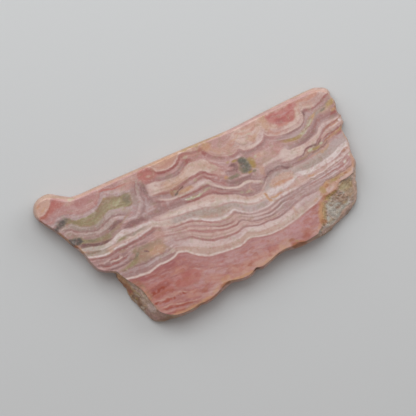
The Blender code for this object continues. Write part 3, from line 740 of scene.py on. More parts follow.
def paint_olive_lens(patch, stroke, spot):
    """The olive lens, with slate at its left end."""
    patch("ink", 0.75, 1.1, (-9.6, 6.2), (-8.6, 5.2), (-6.8, 4.4), (-4.8, 4.2), (-3.8, 4.9), (-5.2, 5.9),
        (-9.2, 7))
    spot("ink", -8, 5.9, 0.9, 0.3, 0.7, 0.8, -15)
    spot("ink", -6, 5.1, 1.2, 0.4, 0.7, 0.8, -15)
    stroke("grey_olive", 0.8, 0.5, 0.8, (-5, 5.1), (-3.6, 5.6), (-2.4, 6.4))
    patch("olive", 0.6, 0.6, (-4.6, 5.2), (-2.6, 6), (-0.5, 6.2), (-0.3, 8.2), (-2, 7.7), (-3.6, 6.6))
    patch("brown", 0.15, 0.9, (-4.4, 5.3), (-3.2, 5.7), (-1.6, 6.6), (-1.6, 7.6), (-4.2, 6.2))
    spot("lime", 10.3, 6.2, 1.5, 0.75, 0.5, 0.9, -25)
    stroke("lime", 0.5, 0.5, 0.5, (9.4, 7.2), (11.4, 5.6))
    spot("lime", 8.3, 6.2, 1.2, 0.6, 0.3, 0.9, -30)
    spot("grey_olive", 13.2, 6.4, 1, 1.5, 0.8, 0.8)
    spot("ochre", 7.3, 3.7, 0.45, 0.35, 0.8, 0.6)
    spot("tan", 9, 4.2, 2, 0.6, 0.5, 0.9, 15)
    spot("brown", 11.8, 4.9, 0.45, 0.3, 0.6, 0.6)
    stroke("lime", 0.5, 0.45, 0.5, (9.2, 7.7), (12, 8), (14.2, 7.6))
    stroke("ochre", 0.3, 0.5, 0.3, (-0.6, 8.3), (0.9, 9.3))
    spot("tan", 14, 8.2, 0.8, 0.5, 0.5, 0.8)
    spot("lime", 11.4, 8.6, 0.6, 0.35, 0.45, 0.8)


def paint_below_lens(patch, stroke, spot):
    """The thin bands below the olive lens."""
    patch("grey_olive", 0.3, 2.4, (-7, 6.2), (-3.6, 6.2), (-1, 8.6), (3, 9.4), (7, 9.6), (8, 13.4),
        (5, 14.6), (1, 14.4), (-3, 13), (-5.6, 9.8))
    patch("plum", 0.22, 2.4, (-6, 7), (-2, 9), (3, 10), (7, 10), (7, 13.6), (2, 14), (-4, 11.4))
    patch("grey_olive", 0.4, 1.6, (-4.4, 13.4), (-2, 13.6), (2, 15), (2, 16.4), (-3.6, 16))
    patch("plum", 0.4, 1.8, (-1, 19.4), (4, 19.6), (9, 19.4), (9.6, 21), (7, 22.8), (2, 23), (-0.6, 21.6))
    patch("plum", 0.35, 1.4, (2, 24.4), (11, 25.2), (12, 26.8), (6, 26.8), (3, 26))
    stroke("plum", 0.4, 0.6, 0.25, (-6.8, 7.6), (-5, 7.9), (-2, 9.6), (-0.6, 10.2))
    spot("taupe", -5.7, 9, 1, 0.5, 0.6, 0.8, 15)
    stroke("plum", 0.4, 0.75, 0.2, (-1, 10), (0.5, 10.8), (2, 11), (4, 10.6), (6, 9.7), (7.5, 9.2),
        (9, 9.6), (11, 10.5), (13, 11.2))
    spot("dark_plum", 6.1, 12.1, 1, 0.5, 0.65, 0.8, -15)
    spot("dark_plum", 8.1, 11.5, 1.7, 0.6, 0.7, 0.8, -10)
    stroke("olive", 0.5, 0.6, 0.3, (-5, 10.3), (-3, 11.2), (-2, 12.4), (0, 13.2), (5, 14.3))
    stroke("grey_olive", 0.5, 0.8, 0.3, (-1.6, 12.7), (-0.4, 13.1), (1.2, 13.4))
    stroke("tan", 0.6, 0.6, 0.4, (5.8, 13.1), (8, 12.6), (11.4, 10.8), (12.6, 10.4))
    stroke("pale_lilac", 0.4, 0.6, 0.2, (9.6, 12.2), (15, 11.9))
    stroke("dark_plum", 0.7, 0.9, 0.25, (-4.4, 12.9), (0, 14.5), (2, 15), (3.4, 15.1), (4.6, 15))
    spot("dark_plum", 1.7, 14.9, 1.6, 0.5, 0.7, 0.6, 12)
    stroke("brown", 0.35, 0.55, 0.3, (-3.6, 16), (0.6, 16.8))
    spot("peach", 4.2, 17.1, 1.9, 0.4, 0.8, 0.7)
    spot("olive", 7.4, 16, 1.2, 0.45, 0.7, 0.7, -10)
    stroke("taupe", 0.6, 0.7, 0.3, (9, 16), (11.4, 16.1), (14, 16))
    stroke("cream", 0.45, 0.7, 0.3, (8, 16.8), (11, 16.8), (14.2, 16.5))
    spot("apricot", 3.2, 18.1, 0.8, 0.4, 0.75, 0.7)
    stroke("plum", 0.3, 0.6, 0.2, (-2.4, 18.7), (-1, 19.2), (1, 19.5))
    stroke("blush", 0.35, 0.7, 0.2, (-1.4, 19.8), (0.8, 20.1), (2.4, 20))
    stroke("dark_red", 0.3, 0.7, 0.2, (1.6, 20.3), (3.4, 20.3), (5.4, 20))
    stroke("cream", 0.35, 0.9, 0.2, (1.6, 20.8), (3.6, 20.8), (5.6, 20.5))
    stroke("dark_red", 0.4, 0.8, 0.2, (-0.8, 21.1), (1.2, 21.5), (3.4, 21.6), (7.2, 21.1))
    spot("plum", 9.4, 19.6, 0.8, 0.35, 0.7, 0.7)
    spot("plum", 12, 19.5, 1.3, 0.3, 0.6, 0.7)
    stroke("pale_lilac", 0.4, 0.4, 0.3, (-7.4, 6.9), (-6, 7), (-4.8, 7.3), (-3.6, 8.2))
    stroke("plum", 0.3, 0.5, 0.25, (-7, 7.9), (-5.6, 7.8), (-4.2, 8.2), (-2, 9.9))
    stroke("pale_lilac", 0.45, 0.45, 0.3, (-6.8, 8.3), (-5.4, 8.3), (-1.6, 10.4), (0, 11))
    stroke("plum", 0.3, 0.5, 0.25, (-1.6, 10), (0.8, 10.9), (2.2, 11))
    stroke("blush", 0.6, 0.35, 0.4, (1, 11.6), (2.6, 11.7), (4.4, 11.2))


def paint_lower_slate(patch, stroke, spot):
    """The lower slate pocket on the left edge."""
    patch("ink", 0.95, 0.6, (-7.2, 10), (-5, 10.3), (-3.2, 11), (-2.6, 12.3), (-4.2, 12.9), (-5.8, 12.5),
        (-6.7, 11.4))


def paint_fold(patch, stroke, spot):
    """The steep fold right of the olive lens."""
    patch("lilac", 0.5, 1.4, (14.6, 4), (19.3, 3.2), (19.4, 9), (19.2, 12.6), (15.4, 12.6), (14.6, 9))
    spot("taupe", 15.4, 7.4, 0.9, 2.6, 0.5, 0.9)
    spot("plum", 16.8, 6.2, 1.8, 3, 0.4, 0.9)
    spot("mauve", 15, 11, 1.8, 1.2, 0.6, 0.9)
    stroke("mauve", 0.4, 0.5, 0.4, (15, 5.2), (14.8, 9.2), (14, 10.4), (12.4, 11.2))
    stroke("mauve", 0.3, 0.5, 0.3, (15.9, 3.6), (15.5, 8), (15.2, 9.7), (14.2, 11.1), (12.6, 11.8))
    stroke("pale_lilac", 0.7, 0.4, 0.6, (17.8, 2.6), (17, 4.4), (16.6, 6), (16, 9.6), (15, 11),
        (13.5, 11.8))
    stroke("deep_rose", 0.35, 0.6, 0.4, (17.1, 2.7), (16.4, 4.6), (16, 6.7))
    stroke("plum", 0.6, 0.6, 0.5, (18.3, 3.4), (17.8, 5), (17.4, 7), (17.3, 9), (16.8, 10.6), (15.4, 11.9),
        (13.4, 12.5))
    stroke("lilac", 0.5, 0.35, 0.5, (18.4, 4.4), (18, 9), (17.6, 10.8), (16.4, 12.1))
    stroke("plum", 1.2, 0.65, 0.9, (19.4, 4.2), (18.9, 6), (18.8, 8), (19, 9.6), (19.6, 10.8))
    spot("dark_plum", 18.9, 6.4, 0.5, 1.6, 0.35, 0.9)
    patch("plum", 0.4, 0.7, (15, 12.8), (18, 12.6), (20.6, 12), (21, 14), (15.4, 14.4))
    patch("dark_plum", 0.5, 0.5, (8.6, 13.4), (11.6, 12.6), (15, 12.6), (15.2, 14.1), (12, 14.2), (9.4, 14))
    patch("red", 0.6, 1, (18.3, 1.3), (22.6, 1.3), (24.4, 3.8), (22.6, 4.6), (19.6, 4.6), (18.7, 3.2))
    spot("tan", 21.4, 3.15, 0.9, 0.4, 0.35, 0.9)
    spot("plum", 20.6, 11.4, 0.9, 1.4, 0.45, 0.9)
    spot("pink", 12.5, 10.6, 1, 0.7, 0.3, 0.9)
    stroke("dark_plum", 0.4, 0.45, 0.3, (17.1, 3.2), (16.1, 5.8), (16.1, 7))
    stroke("taupe", 0.6, 0.5, 0.4, (18, 2.6), (17.4, 4), (16.6, 7))
    patch("dark_plum", 0.35, 0.7, (18, 4), (19.4, 4.2), (19.3, 6.2), (18.6, 7), (17.5, 6.3))
    stroke("pale_lilac", 0.35, 0.4, 0.35, (16.7, 7), (16.8, 8.6), (17.2, 10), (18.2, 11))
    stroke("crimson", 0.5, 0.3, 0.5, (17.8, 6.6), (18.4, 8), (18.8, 9.4))
    spot("cream", 21.4, 3.1, 0.7, 0.35, 0.45, 0.7, 10)


def paint_first_lobe(patch, stroke, spot):
    """The first lobe and what lies under it."""
    spot("coral", 27, 2.1, 3, 1.2, 0.55, 0.9)
    spot("apricot", 27.5, 1.2, 3.5, 0.7, 0.6, 0.8)
    stroke("cream", 0.4, 0.6, 0.3, (23.1, 1.2), (24, 2.5), (25.2, 3.1), (27, 3.35), (29, 3.1), (30.4, 2.3),
        (31.2, 1.4))
    stroke("dark_red", 0.35, 0.6, 0.2, (23.4, 3), (25, 3.8), (27, 4), (29.4, 3.5), (32, 1.6))
    spot("plum", 26, 5.5, 1.6, 0.4, 0.45, 0.8)
    spot("apricot", 25, 7.5, 1, 0.5, 0.5, 0.8)
    patch("peach", 0.55, 1, (30, 5.6), (33, 4.8), (37, 5), (39, 6.6), (40, 8.4), (37.6, 8.2), (33.6, 7.6),
        (30.4, 7.8))
    stroke("salmon", 0.6, 0.45, 0.6, (32, 6.6), (34.4, 6.2), (36.6, 6.8), (38.2, 8))
    spot("apricot", 28.5, 7.5, 1, 0.5, 0.5, 0.8)
    spot("pale_green", 32.7, 2.75, 0.6, 0.4, 0.55, 0.8)
    spot("dark_red", 33, 3.95, 1, 0.6, 0.6, 0.9, -20)
    spot("brick", 37.8, 2.6, 0.8, 0.8, 0.45, 0.9)
    spot("dark_red", 38.4, 3.9, 0.6, 0.5, 0.7, 0.9, 40)
    spot("orange", 39.6, 2.6, 1.3, 1.1, 0.65, 0.9)
    spot("ochre", 39.3, 1.6, 1, 0.3, 0.35, 0.9)
    stroke("blush", 0.35, 0.7, 0.2, (38.4, 6.1), (39.4, 6.6), (40.4, 7.5))
    stroke("deep_rose", 0.6, 0.75, 0.3, (38.4, 6.7), (41, 9.3), (41.9, 9.8))
    spot("rose", 43.5, 2.6, 2.6, 1.6, 0.5, 0.9)
    patch("salmon", 0.6, 0.9, (41, 4), (43.4, 4.4), (46, 4.4), (46.4, 6.2), (43.6, 6.4), (41.6, 5.6))
    stroke("apricot", 0.6, 0.55, 0.5, (44.5, 4.2), (46.6, 4), (49, 3.4))
    stroke("apricot", 0.5, 0.5, 0.5, (40.4, 3.2), (41.4, 4.6), (43, 5.8))


def paint_pitted_lens(patch, stroke, spot):
    """The lens with the brown pit."""
    spot("rust", 25.4, 10.3, 0.6, 0.8, 0.65, 0.8)
    spot("lime", 26.6, 10.1, 0.55, 0.35, 0.6, 0.8)
    spot("orange", 29.3, 10.9, 1.9, 0.5, 0.65, 0.8)
    stroke("dark_brown", 0.4, 0.65, 0.4, (25.8, 11.3), (26.8, 10.7), (29.2, 9.6))
    spot("slate", 26.6, 11, 0.6, 0.3, 0.7, 0.7, -25)
    spot("white", 34.2, 10.9, 1.6, 0.6, 0.5, 0.8)
    spot("lime", 32.8, 9.6, 0.55, 0.4, 0.7, 0.7)
    stroke("dark_red", 0.4, 0.7, 0.2, (35, 8.8), (36.2, 8.8), (36.9, 9.5), (39.4, 11.2))
    stroke("blush", 0.3, 0.6, 0.2, (36.1, 9.5), (37.2, 10.5), (38.2, 11.1))
    stroke("dark_red", 0.45, 0.65, 0.25, (35.2, 9.5), (36.3, 10.5), (38.2, 12.8))
    spot("salmon", 39.6, 10.2, 1.6, 1, 0.5, 0.9, 40)
    spot("dark_red", 34.5, 10, 2, 0.9, 0.3, 0.9)
    patch("deep_rose", 0.35, 1.6, (38, 9), (43, 9.8), (45, 12), (41, 12), (38, 10.4))


def paint_crystal_seam(patch, stroke, spot):
    """The seam of pale crystals."""
    patch("plum", 0.4, 1.2, (19, 12.2), (32, 12.8), (33, 14.8), (28, 15), (20, 14.6))
    stroke("dark_red", 0.4, 0.5, 0.25, (26.5, 12.3), (28.5, 12.6), (33, 12.6), (35.5, 12.2))
    stroke("dark_red", 0.5, 0.6, 0.3, (27.8, 14.1), (29.6, 14.7), (32, 14.9), (34, 14.5))
    stroke("pale_green", 0.6, 0.95, 0.25, (28.1, 13.3), (29.4, 13.8), (31, 14.1), (32.4, 14), (33.2, 13.7))
    stroke("mustard", 0.25, 0.5, 0.2, (29.6, 13.5), (31.2, 13.8), (32.2, 13.8))
    stroke("lime", 0.6, 0.6, 0.3, (33.6, 13.5), (35.8, 13.5))
    spot("white", 28.3, 13.4, 0.3, 0.2, 0.9, 0.6)
    spot("white", 29.7, 13.6, 0.25, 0.15, 0.8, 0.6)
    spot("white", 31.6, 14, 0.3, 0.15, 0.7, 0.6)


def paint_slate_pocket(patch, stroke, spot):
    """The slate pocket in the middle, with a painted highlight on its top."""
    stroke("blush", 0.3, 0.6, 0.2, (41, 10.7), (43.6, 11.6))
    spot("ochre", 43, 8.8, 0.5, 0.3, 0.6, 0.8)
    spot("mustard", 44.9, 9.2, 0.8, 0.35, 0.85, 0.7, 10)
    stroke("dark_plum", 1, 0.85, 0.6, (43.2, 9.9), (44.2, 10.1), (44.7, 10.9), (44.6, 12.4))
    patch("plum", 0.6, 0.6, (41.6, 11.1), (44, 11), (45, 10.6), (45.1, 12.8), (43, 12.7), (41.6, 12.3))
    stroke("dark_plum", 0.35, 0.5, 0.3, (42, 11.3), (43.6, 11.5), (44.8, 12))
    stroke("tan", 0.4, 0.6, 0.3, (45.8, 9.9), (45.3, 12.4))
    spot("orange", 41.2, 12.8, 0.6, 0.55, 0.85, 0.7)
    spot("grey_olive", 43.4, 13.2, 1.8, 0.55, 0.9, 0.8, 3)
    # A painted highlight: the pale lilac spot on the top of the slate.
    spot("pale_lilac", 46.6, 8.8, 0.8, 0.3, 0.5, 0.9, 10)
    patch("grey_olive", 0.9, 0.6, (45.6, 9.3), (47.4, 9), (48.7, 10.2), (49, 12.6), (48.3, 13.6),
        (46.2, 13.7), (45.2, 12.4), (46, 10.8))
    patch("slate", 0.75, 0.8, (45.8, 9.6), (47.2, 9.3), (48.2, 10.4), (48.5, 12.6), (47.6, 13.3),
        (46.2, 13.2))
    spot("grey_olive", 47.9, 11.2, 0.6, 0.3, 0.5, 0.8)
    patch("mustard", 0.7, 0.6, (48.5, 10.4), (49.5, 10.2), (50.1, 11.2), (50.3, 13), (49.8, 13.6),
        (48.9, 13.4), (48.8, 12))
    spot("mustard", 49.4, 12.1, 0.5, 1, 0.8, 0.7)
    spot("apricot", 51.9, 10.8, 1.4, 0.55, 0.6, 0.9)
    spot("lime", 50.8, 10.7, 0.3, 0.25, 0.8, 0.7)
    spot("mustard", 47.9, 13.9, 0.8, 0.4, 0.95, 0.6)
    spot("grey_olive", 49, 14.1, 0.5, 0.4, 0.85, 0.8, 20)
    stroke("blush", 0.35, 0.6, 0.2, (44.4, 14), (46, 14.3), (47.2, 14.2))
    stroke("plum", 0.6, 0.75, 0.3, (41, 14.5), (43.4, 14.9), (46.4, 14.8), (48, 15.3))
    stroke("blush", 0.4, 0.6, 0.2, (48.2, 14.7), (48.9, 15.4))
    patch("apricot", 0.6, 0.8, (50.3, 13.4), (51.6, 13.6), (51.8, 15.4), (51.2, 16.4), (50.4, 15.6))
    spot("tan", 53, 12.8, 2, 0.6, 0.45, 0.9)
    stroke("plum", 0.4, 0.6, 0.25, (54, 14.4), (55.5, 14.4), (56.5, 14.9), (57, 15.8), (58.5, 16.6),
        (60.5, 17))
    stroke("dark_plum", 0.6, 0.65, 0.3, (50, 18.4), (51, 17.4), (52.2, 16.5), (55, 16), (56.4, 16.2),
        (57.6, 17.1), (59, 17.4))


def paint_rose_patches(patch, stroke, spot):
    """Rose patches between the pockets."""
    patch("rose", 0.75, 0.7, (55.5, 10), (58, 10), (58.6, 11.6), (57.4, 12.6), (55.6, 12.2))
    spot("deep_rose", 55.3, 9.3, 0.7, 0.5, 0.5, 0.8)
    stroke("plum", 0.8, 0.45, 0.5, (48, 9), (50, 9.2), (52.6, 9.2), (54.6, 8.6))
    patch("white", 0.3, 1.4, (57.2, 12.6), (59, 12.2), (61.4, 13.2), (61.6, 15), (59, 15.4), (57.4, 14.4))
    spot("lime", 45.2, 18.7, 0.7, 0.45, 0.65, 0.8)
    spot("lime", 43.3, 18.2, 0.7, 0.3, 0.45, 0.8, 20)
    stroke("salmon", 0.5, 0.6, 0.4, (46.2, 16.7), (46, 18), (46.2, 19.2))
    patch("blush", 0.3, 2.4, (49.5, 9.4), (57, 9), (60, 12), (59, 16), (54, 15.6), (51, 12.4))


def paint_third_lobe(patch, stroke, spot):
    """The third lobe."""
    spot("apricot", 52.3, 5.7, 1.5, 1.1, 0.75, 0.9)
    stroke("coral", 0.7, 0.65, 0.7, (48.2, 2), (49, 3), (50.5, 3.5), (52, 3.6), (53.5, 3.2), (54.6, 2.6),
        (54.9, 1.6))
    spot("coral", 52.9, 2.2, 2.2, 0.6, 0.6, 0.9)
    spot("rose", 51.8, 1.6, 2, 0.4, 0.4, 0.8)
    spot("pale_green", 51.9, 4.1, 0.6, 0.25, 0.5, 0.8)
    stroke("pale_lilac", 1, 0.6, 0.8, (55.4, 4.6), (54.6, 6.4), (53, 7.2))


def paint_eye(patch, stroke, spot):
    """The red eye of the fourth lobe."""
    spot("apricot", 57.2, 2.1, 1.1, 1.1, 0.75, 0.8)
    spot("ochre", 57.8, 1.5, 0.4, 0.3, 0.6, 0.8)
    stroke("coral", 0.8, 0.6, 0.6, (56.8, 4.6), (57.2, 5.8), (58.2, 6.9), (59.5, 7.5), (60.4, 6.8))
    spot("apricot", 57, 4.2, 0.7, 1.6, 0.5, 0.9)
    patch("eye_pink", 0.95, 0.8, (58, 1.5), (60.5, 1.2), (62, 1.5), (64.5, 1.6), (67.4, 1.1), (67.5, 2.2),
        (66.3, 2.9), (65.6, 5.2), (64.4, 6), (62.2, 6.3), (60.3, 5.9), (59.5, 4.7), (58.3, 3.7),
        (57.8, 2.6))
    spot("eye_red", 60, 2.3, 1.7, 0.6, 0.55, 0.9, 10)
    spot("eye_red", 62, 3.9, 2, 0.55, 0.85, 0.8, 5)
    spot("crimson", 61.3, 4.6, 1.5, 0.7, 0.5, 0.9, 5)
    spot("eye_red", 64.1, 3.3, 1.6, 0.45, 0.7, 0.8)
    spot("eye_red", 65.8, 2, 1, 0.6, 0.6, 0.9)
    spot("eye_red", 63.8, 5.1, 1.6, 0.7, 0.6, 0.9)
    spot("coral", 62.2, 5.9, 1.8, 0.4, 0.5, 0.9)
    stroke("pink", 0.3, 0.7, 0.2, (59, 2.2), (61, 2.7), (65, 3.2))
    stroke("cream", 0.75, 0.6, 0.4, (66.5, 3.4), (66.7, 4.8), (66.2, 5.9), (64.8, 6.7), (63, 7),
        (60.8, 6.9))
    stroke("rose", 0.22, 0.45, 0.15, (67.5, 3.6), (67.3, 5.2), (66.7, 6.4), (65.4, 7.2))


def paint_fifth_lobe(patch, stroke, spot):
    """The fifth lobe, with a painted highlight on its corner."""
    stroke("coral", 0.9, 0.8, 0.5, (67.2, 1.6), (70, 1.9), (72, 1.9), (74.4, 1.5))
    # A painted highlight: the white spot where the rounded polished corner catches the light.
    spot("white", 75.3, 1.6, 1.3, 0.5, 0.6, 0.9, 10)
    spot("salmon", 70.2, 3.3, 1.6, 0.7, 0.4, 0.9, 10)
    stroke("dark_red", 0.4, 0.7, 0.2, (72.6, 4.7), (74.5, 4.1), (76.2, 3.3))
    stroke("dark_plum", 0.4, 0.7, 0.25, (68, 4.4), (68.2, 5.4), (68.1, 6.3))
    spot("mauve", 73.6, 4.6, 1.8, 2, 0.35, 0.9)


def paint_right_rim(patch, stroke, spot):
    """The stained bands near the ragged end."""
    spot("slate", 73.6, 6.6, 0.8, 0.35, 0.5, 0.8, -15)
    patch("ochre", 0.8, 0.4, (75, 5.6), (76.2, 4.8), (77.6, 4.9), (77.4, 6), (75.8, 6.5), (75, 6.3))
    spot("orange", 70.3, 7.1, 0.8, 0.4, 0.7, 0.7, -30)
    spot("orange", 76.5, 7.8, 0.9, 0.45, 0.8, 0.7, -10)
    spot("dark_red", 75.9, 8.6, 1, 0.35, 0.8, 0.7, -10)
    stroke("pale_green", 0.45, 0.7, 0.25, (64.8, 10.2), (66, 10.3), (67.2, 9.9))
    stroke("pale_green", 0.4, 0.75, 0.2, (67.2, 9.2), (69.6, 7.8))
    stroke("brown", 0.25, 0.6, 0.15, (66.8, 9.8), (68, 9.1), (68.6, 8.4))
    stroke("rust", 0.3, 0.7, 0.2, (71.2, 12.2), (71.8, 11.6), (73, 11.1), (75.3, 10.7), (77.3, 10))
    stroke("cream", 0.3, 0.8, 0.2, (72.6, 12), (74.2, 11.9), (76.2, 11.4))
    stroke("orange", 0.25, 0.6, 0.2, (73, 11.5), (74.8, 11.4), (76.6, 11))
    spot("white", 76.4, 10.9, 0.35, 0.2, 0.8, 0.6, 30)
    stroke("dark_red", 0.35, 0.75, 0.2, (70.3, 13.9), (72, 13.4), (74, 13.2), (76, 12.7))
    spot("mustard", 75.5, 13.3, 0.7, 0.3, 0.7, 0.7, -15)
    stroke("rust", 0.3, 0.6, 0.2, (70.3, 14.9), (72, 14.1), (74, 13.8))
    stroke("dark_plum", 0.35, 0.75, 0.2, (64.1, 14.8), (65.6, 14.5), (67.2, 14.6), (68.2, 14.9), (69, 14.3),
        (69.7, 13.5))
    stroke("pale_green", 0.8, 0.95, 0.25, (65, 15.6), (66.4, 15.4))
    stroke("mustard", 0.6, 0.85, 0.2, (66.2, 15.7), (68.4, 15.5))
    stroke("pale_green", 0.6, 0.95, 0.25, (68.5, 15.1), (69.6, 14.8))
    stroke("brown", 0.35, 0.6, 0.2, (65.8, 16.3), (67.4, 16.3), (69.2, 16))
    stroke("tan", 0.6, 0.65, 0.3, (61.3, 16.7), (64.7, 16.6))
    stroke("orange", 0.5, 0.55, 0.3, (67.8, 17.3), (69.6, 17), (71.2, 16.2))
    stroke("dark_plum", 0.3, 0.6, 0.2, (69, 16.1), (70.5, 15.6), (71.2, 15))
    patch("lilac", 0.4, 0.9, (71.6, 15.2), (74.6, 14.7), (76.2, 14.6), (76, 17.6), (73.6, 18.2),
        (71.6, 17.4))
    patch("peach", 0.85, 0.8, (51, 19.8), (52.6, 18.3), (56, 18), (59, 19), (58.4, 20.6), (54.8, 21.1),
        (51.8, 21))
    spot("coral", 55, 20.2, 3, 0.45, 0.65, 0.9)
    spot("orange", 54, 20.2, 1.6, 0.35, 0.5, 0.9)
    spot("white", 50, 22, 0.5, 0.5, 0.6, 0.8)
    stroke("orange", 0.7, 0.9, 0.4, (48.6, 21.1), (49.6, 23.2), (50.4, 23.9))
    stroke("orange", 0.5, 0.8, 0.3, (50.1, 22.8), (52, 23.05), (53.7, 22.9))
    stroke("white", 0.35, 0.7, 0.25, (50.5, 23.8), (58, 23.2))
    stroke("orange", 0.5, 0.6, 0.3, (61.9, 21.8), (63, 22.1), (64.1, 21.9))
    stroke("white", 0.25, 0.8, 0.2, (61, 22.8), (66, 22.2), (71.5, 21.3), (75, 20.2))
    stroke("plum", 0.22, 0.7, 0.2, (60.6, 23.2), (66, 22.7), (71.4, 21.8), (75, 20.7))
    stroke("white", 0.22, 0.7, 0.2, (62, 23.8), (67, 23.4), (72, 22.6))
    stroke("dark_red", 0.28, 0.65, 0.2, (61, 24.3), (70, 23.4), (73, 22.8), (75.4, 21.8))
    stroke("white", 0.25, 0.6, 0.2, (65, 24.7), (70, 24.1), (74.8, 22.8))
    stroke("plum", 0.3, 0.6, 0.2, (55, 24.8), (57, 24.9), (59.4, 24.7), (63, 24.9), (68, 24.7), (71, 24.3))
    stroke("plum", 0.3, 0.65, 0.2, (53, 25.6), (56.4, 25.7), (60, 25.5))
    stroke("plum", 0.35, 0.5, 0.25, (55.8, 26.7), (58, 26.9), (60.4, 26.5))
    spot("white", 74.9, 21.2, 0.4, 0.35, 0.8, 0.6)
    spot("pale_green", 73.2, 22.4, 0.35, 0.5, 0.95, 0.6, 40)
    spot("rust", 74.4, 19.4, 1, 0.4, 0.6, 0.8, -10)
    stroke("plum", 0.35, 0.5, 0.3, (70.8, 21), (72.6, 20.2), (74.6, 19.5))
    stroke("rust", 0.5, 0.7, 0.3, (74.8, 24.3), (75.8, 23))
    patch("blush", 0.3, 1.4, (54, 24.8), (60, 24), (66, 23.6), (66, 25), (58, 26.6), (54, 26.4))
    patch("mauve", 0.35, 1.4, (56, 27.2), (62, 26.6), (63, 28.6), (57, 29.8))
    patch("mauve", 0.35, 2, (19.6, 20.6), (24, 21), (24.6, 25), (20, 25.4))


def paint_tan_lens(patch, stroke, spot):
    """The olive and tan lens above the base."""
    stroke("lilac", 0.5, 0.7, 0.25, (1, 22), (4, 22.3), (6, 22.1), (7.4, 21.5), (8.2, 20.9))
    stroke("plum", 0.4, 0.8, 0.2, (2, 23), (6.2, 22.8), (7.4, 22.3), (8.1, 21.8))
    patch("tan", 0.75, 1, (8.2, 20.3), (11, 20), (14, 20.1), (17, 20.6), (17.8, 22.5), (17, 24.1),
        (13, 24.3), (10, 24.3), (7, 24.5), (3, 24.2), (7.6, 23), (8.7, 21.8))
    spot("grey_olive", 9.3, 22.1, 1.3, 0.55, 0.9, 0.8, -35)
    spot("grey_olive", 8.9, 21, 0.8, 0.25, 0.5, 0.8)
    spot("olive", 8, 23.4, 1.8, 0.6, 0.7, 0.8, -20)
    spot("olive", 6.2, 24.1, 1.7, 0.4, 0.7, 0.8)
    spot("grey_olive", 11.6, 20.7, 2, 0.6, 0.4, 0.9)
    spot("apricot", 15, 23, 2.6, 1.2, 0.8, 0.9)
    spot("ochre", 13.6, 22.3, 0.7, 0.3, 0.5, 0.8)
    stroke("dark_plum", 0.5, 0.95, 0.2, (11.6, 21.7), (13.1, 22.6))
    spot("tan", 6.3, 19.3, 1, 0.5, 0.5, 0.8)
    spot("lilac", 19.3, 22.6, 1.4, 0.8, 0.5, 0.9)
    spot("salmon", 17.3, 19.3, 1.5, 1.6, 0.5, 0.9)


def paint_bright_grains(patch, stroke, spot):
    """Bright grains and soft patches on the right."""
    spot("white", 76.7, 10.6, 0.35, 0.2, 0.8, 0.5, 60)
    spot("pale_green", 75.1, 20.9, 0.35, 0.5, 0.7, 0.6)
    spot("white", 73, 22.4, 0.35, 0.3, 0.7, 0.6)
    spot("white", 74.6, 19.3, 0.35, 0.2, 0.6, 0.6, 30)
    spot("pale_green", 50.9, 10.7, 0.4, 0.3, 0.7, 0.7)
    spot("red", 57, 11.3, 1.6, 1.4, 0.3, 1.2)
    stroke("taupe", 1.2, 0.3, 1, (59, 18.8), (63, 19), (67, 18.6), (71, 17.2))
    spot("blush", 59, 14.2, 1.6, 1.3, 0.4, 1, 20)


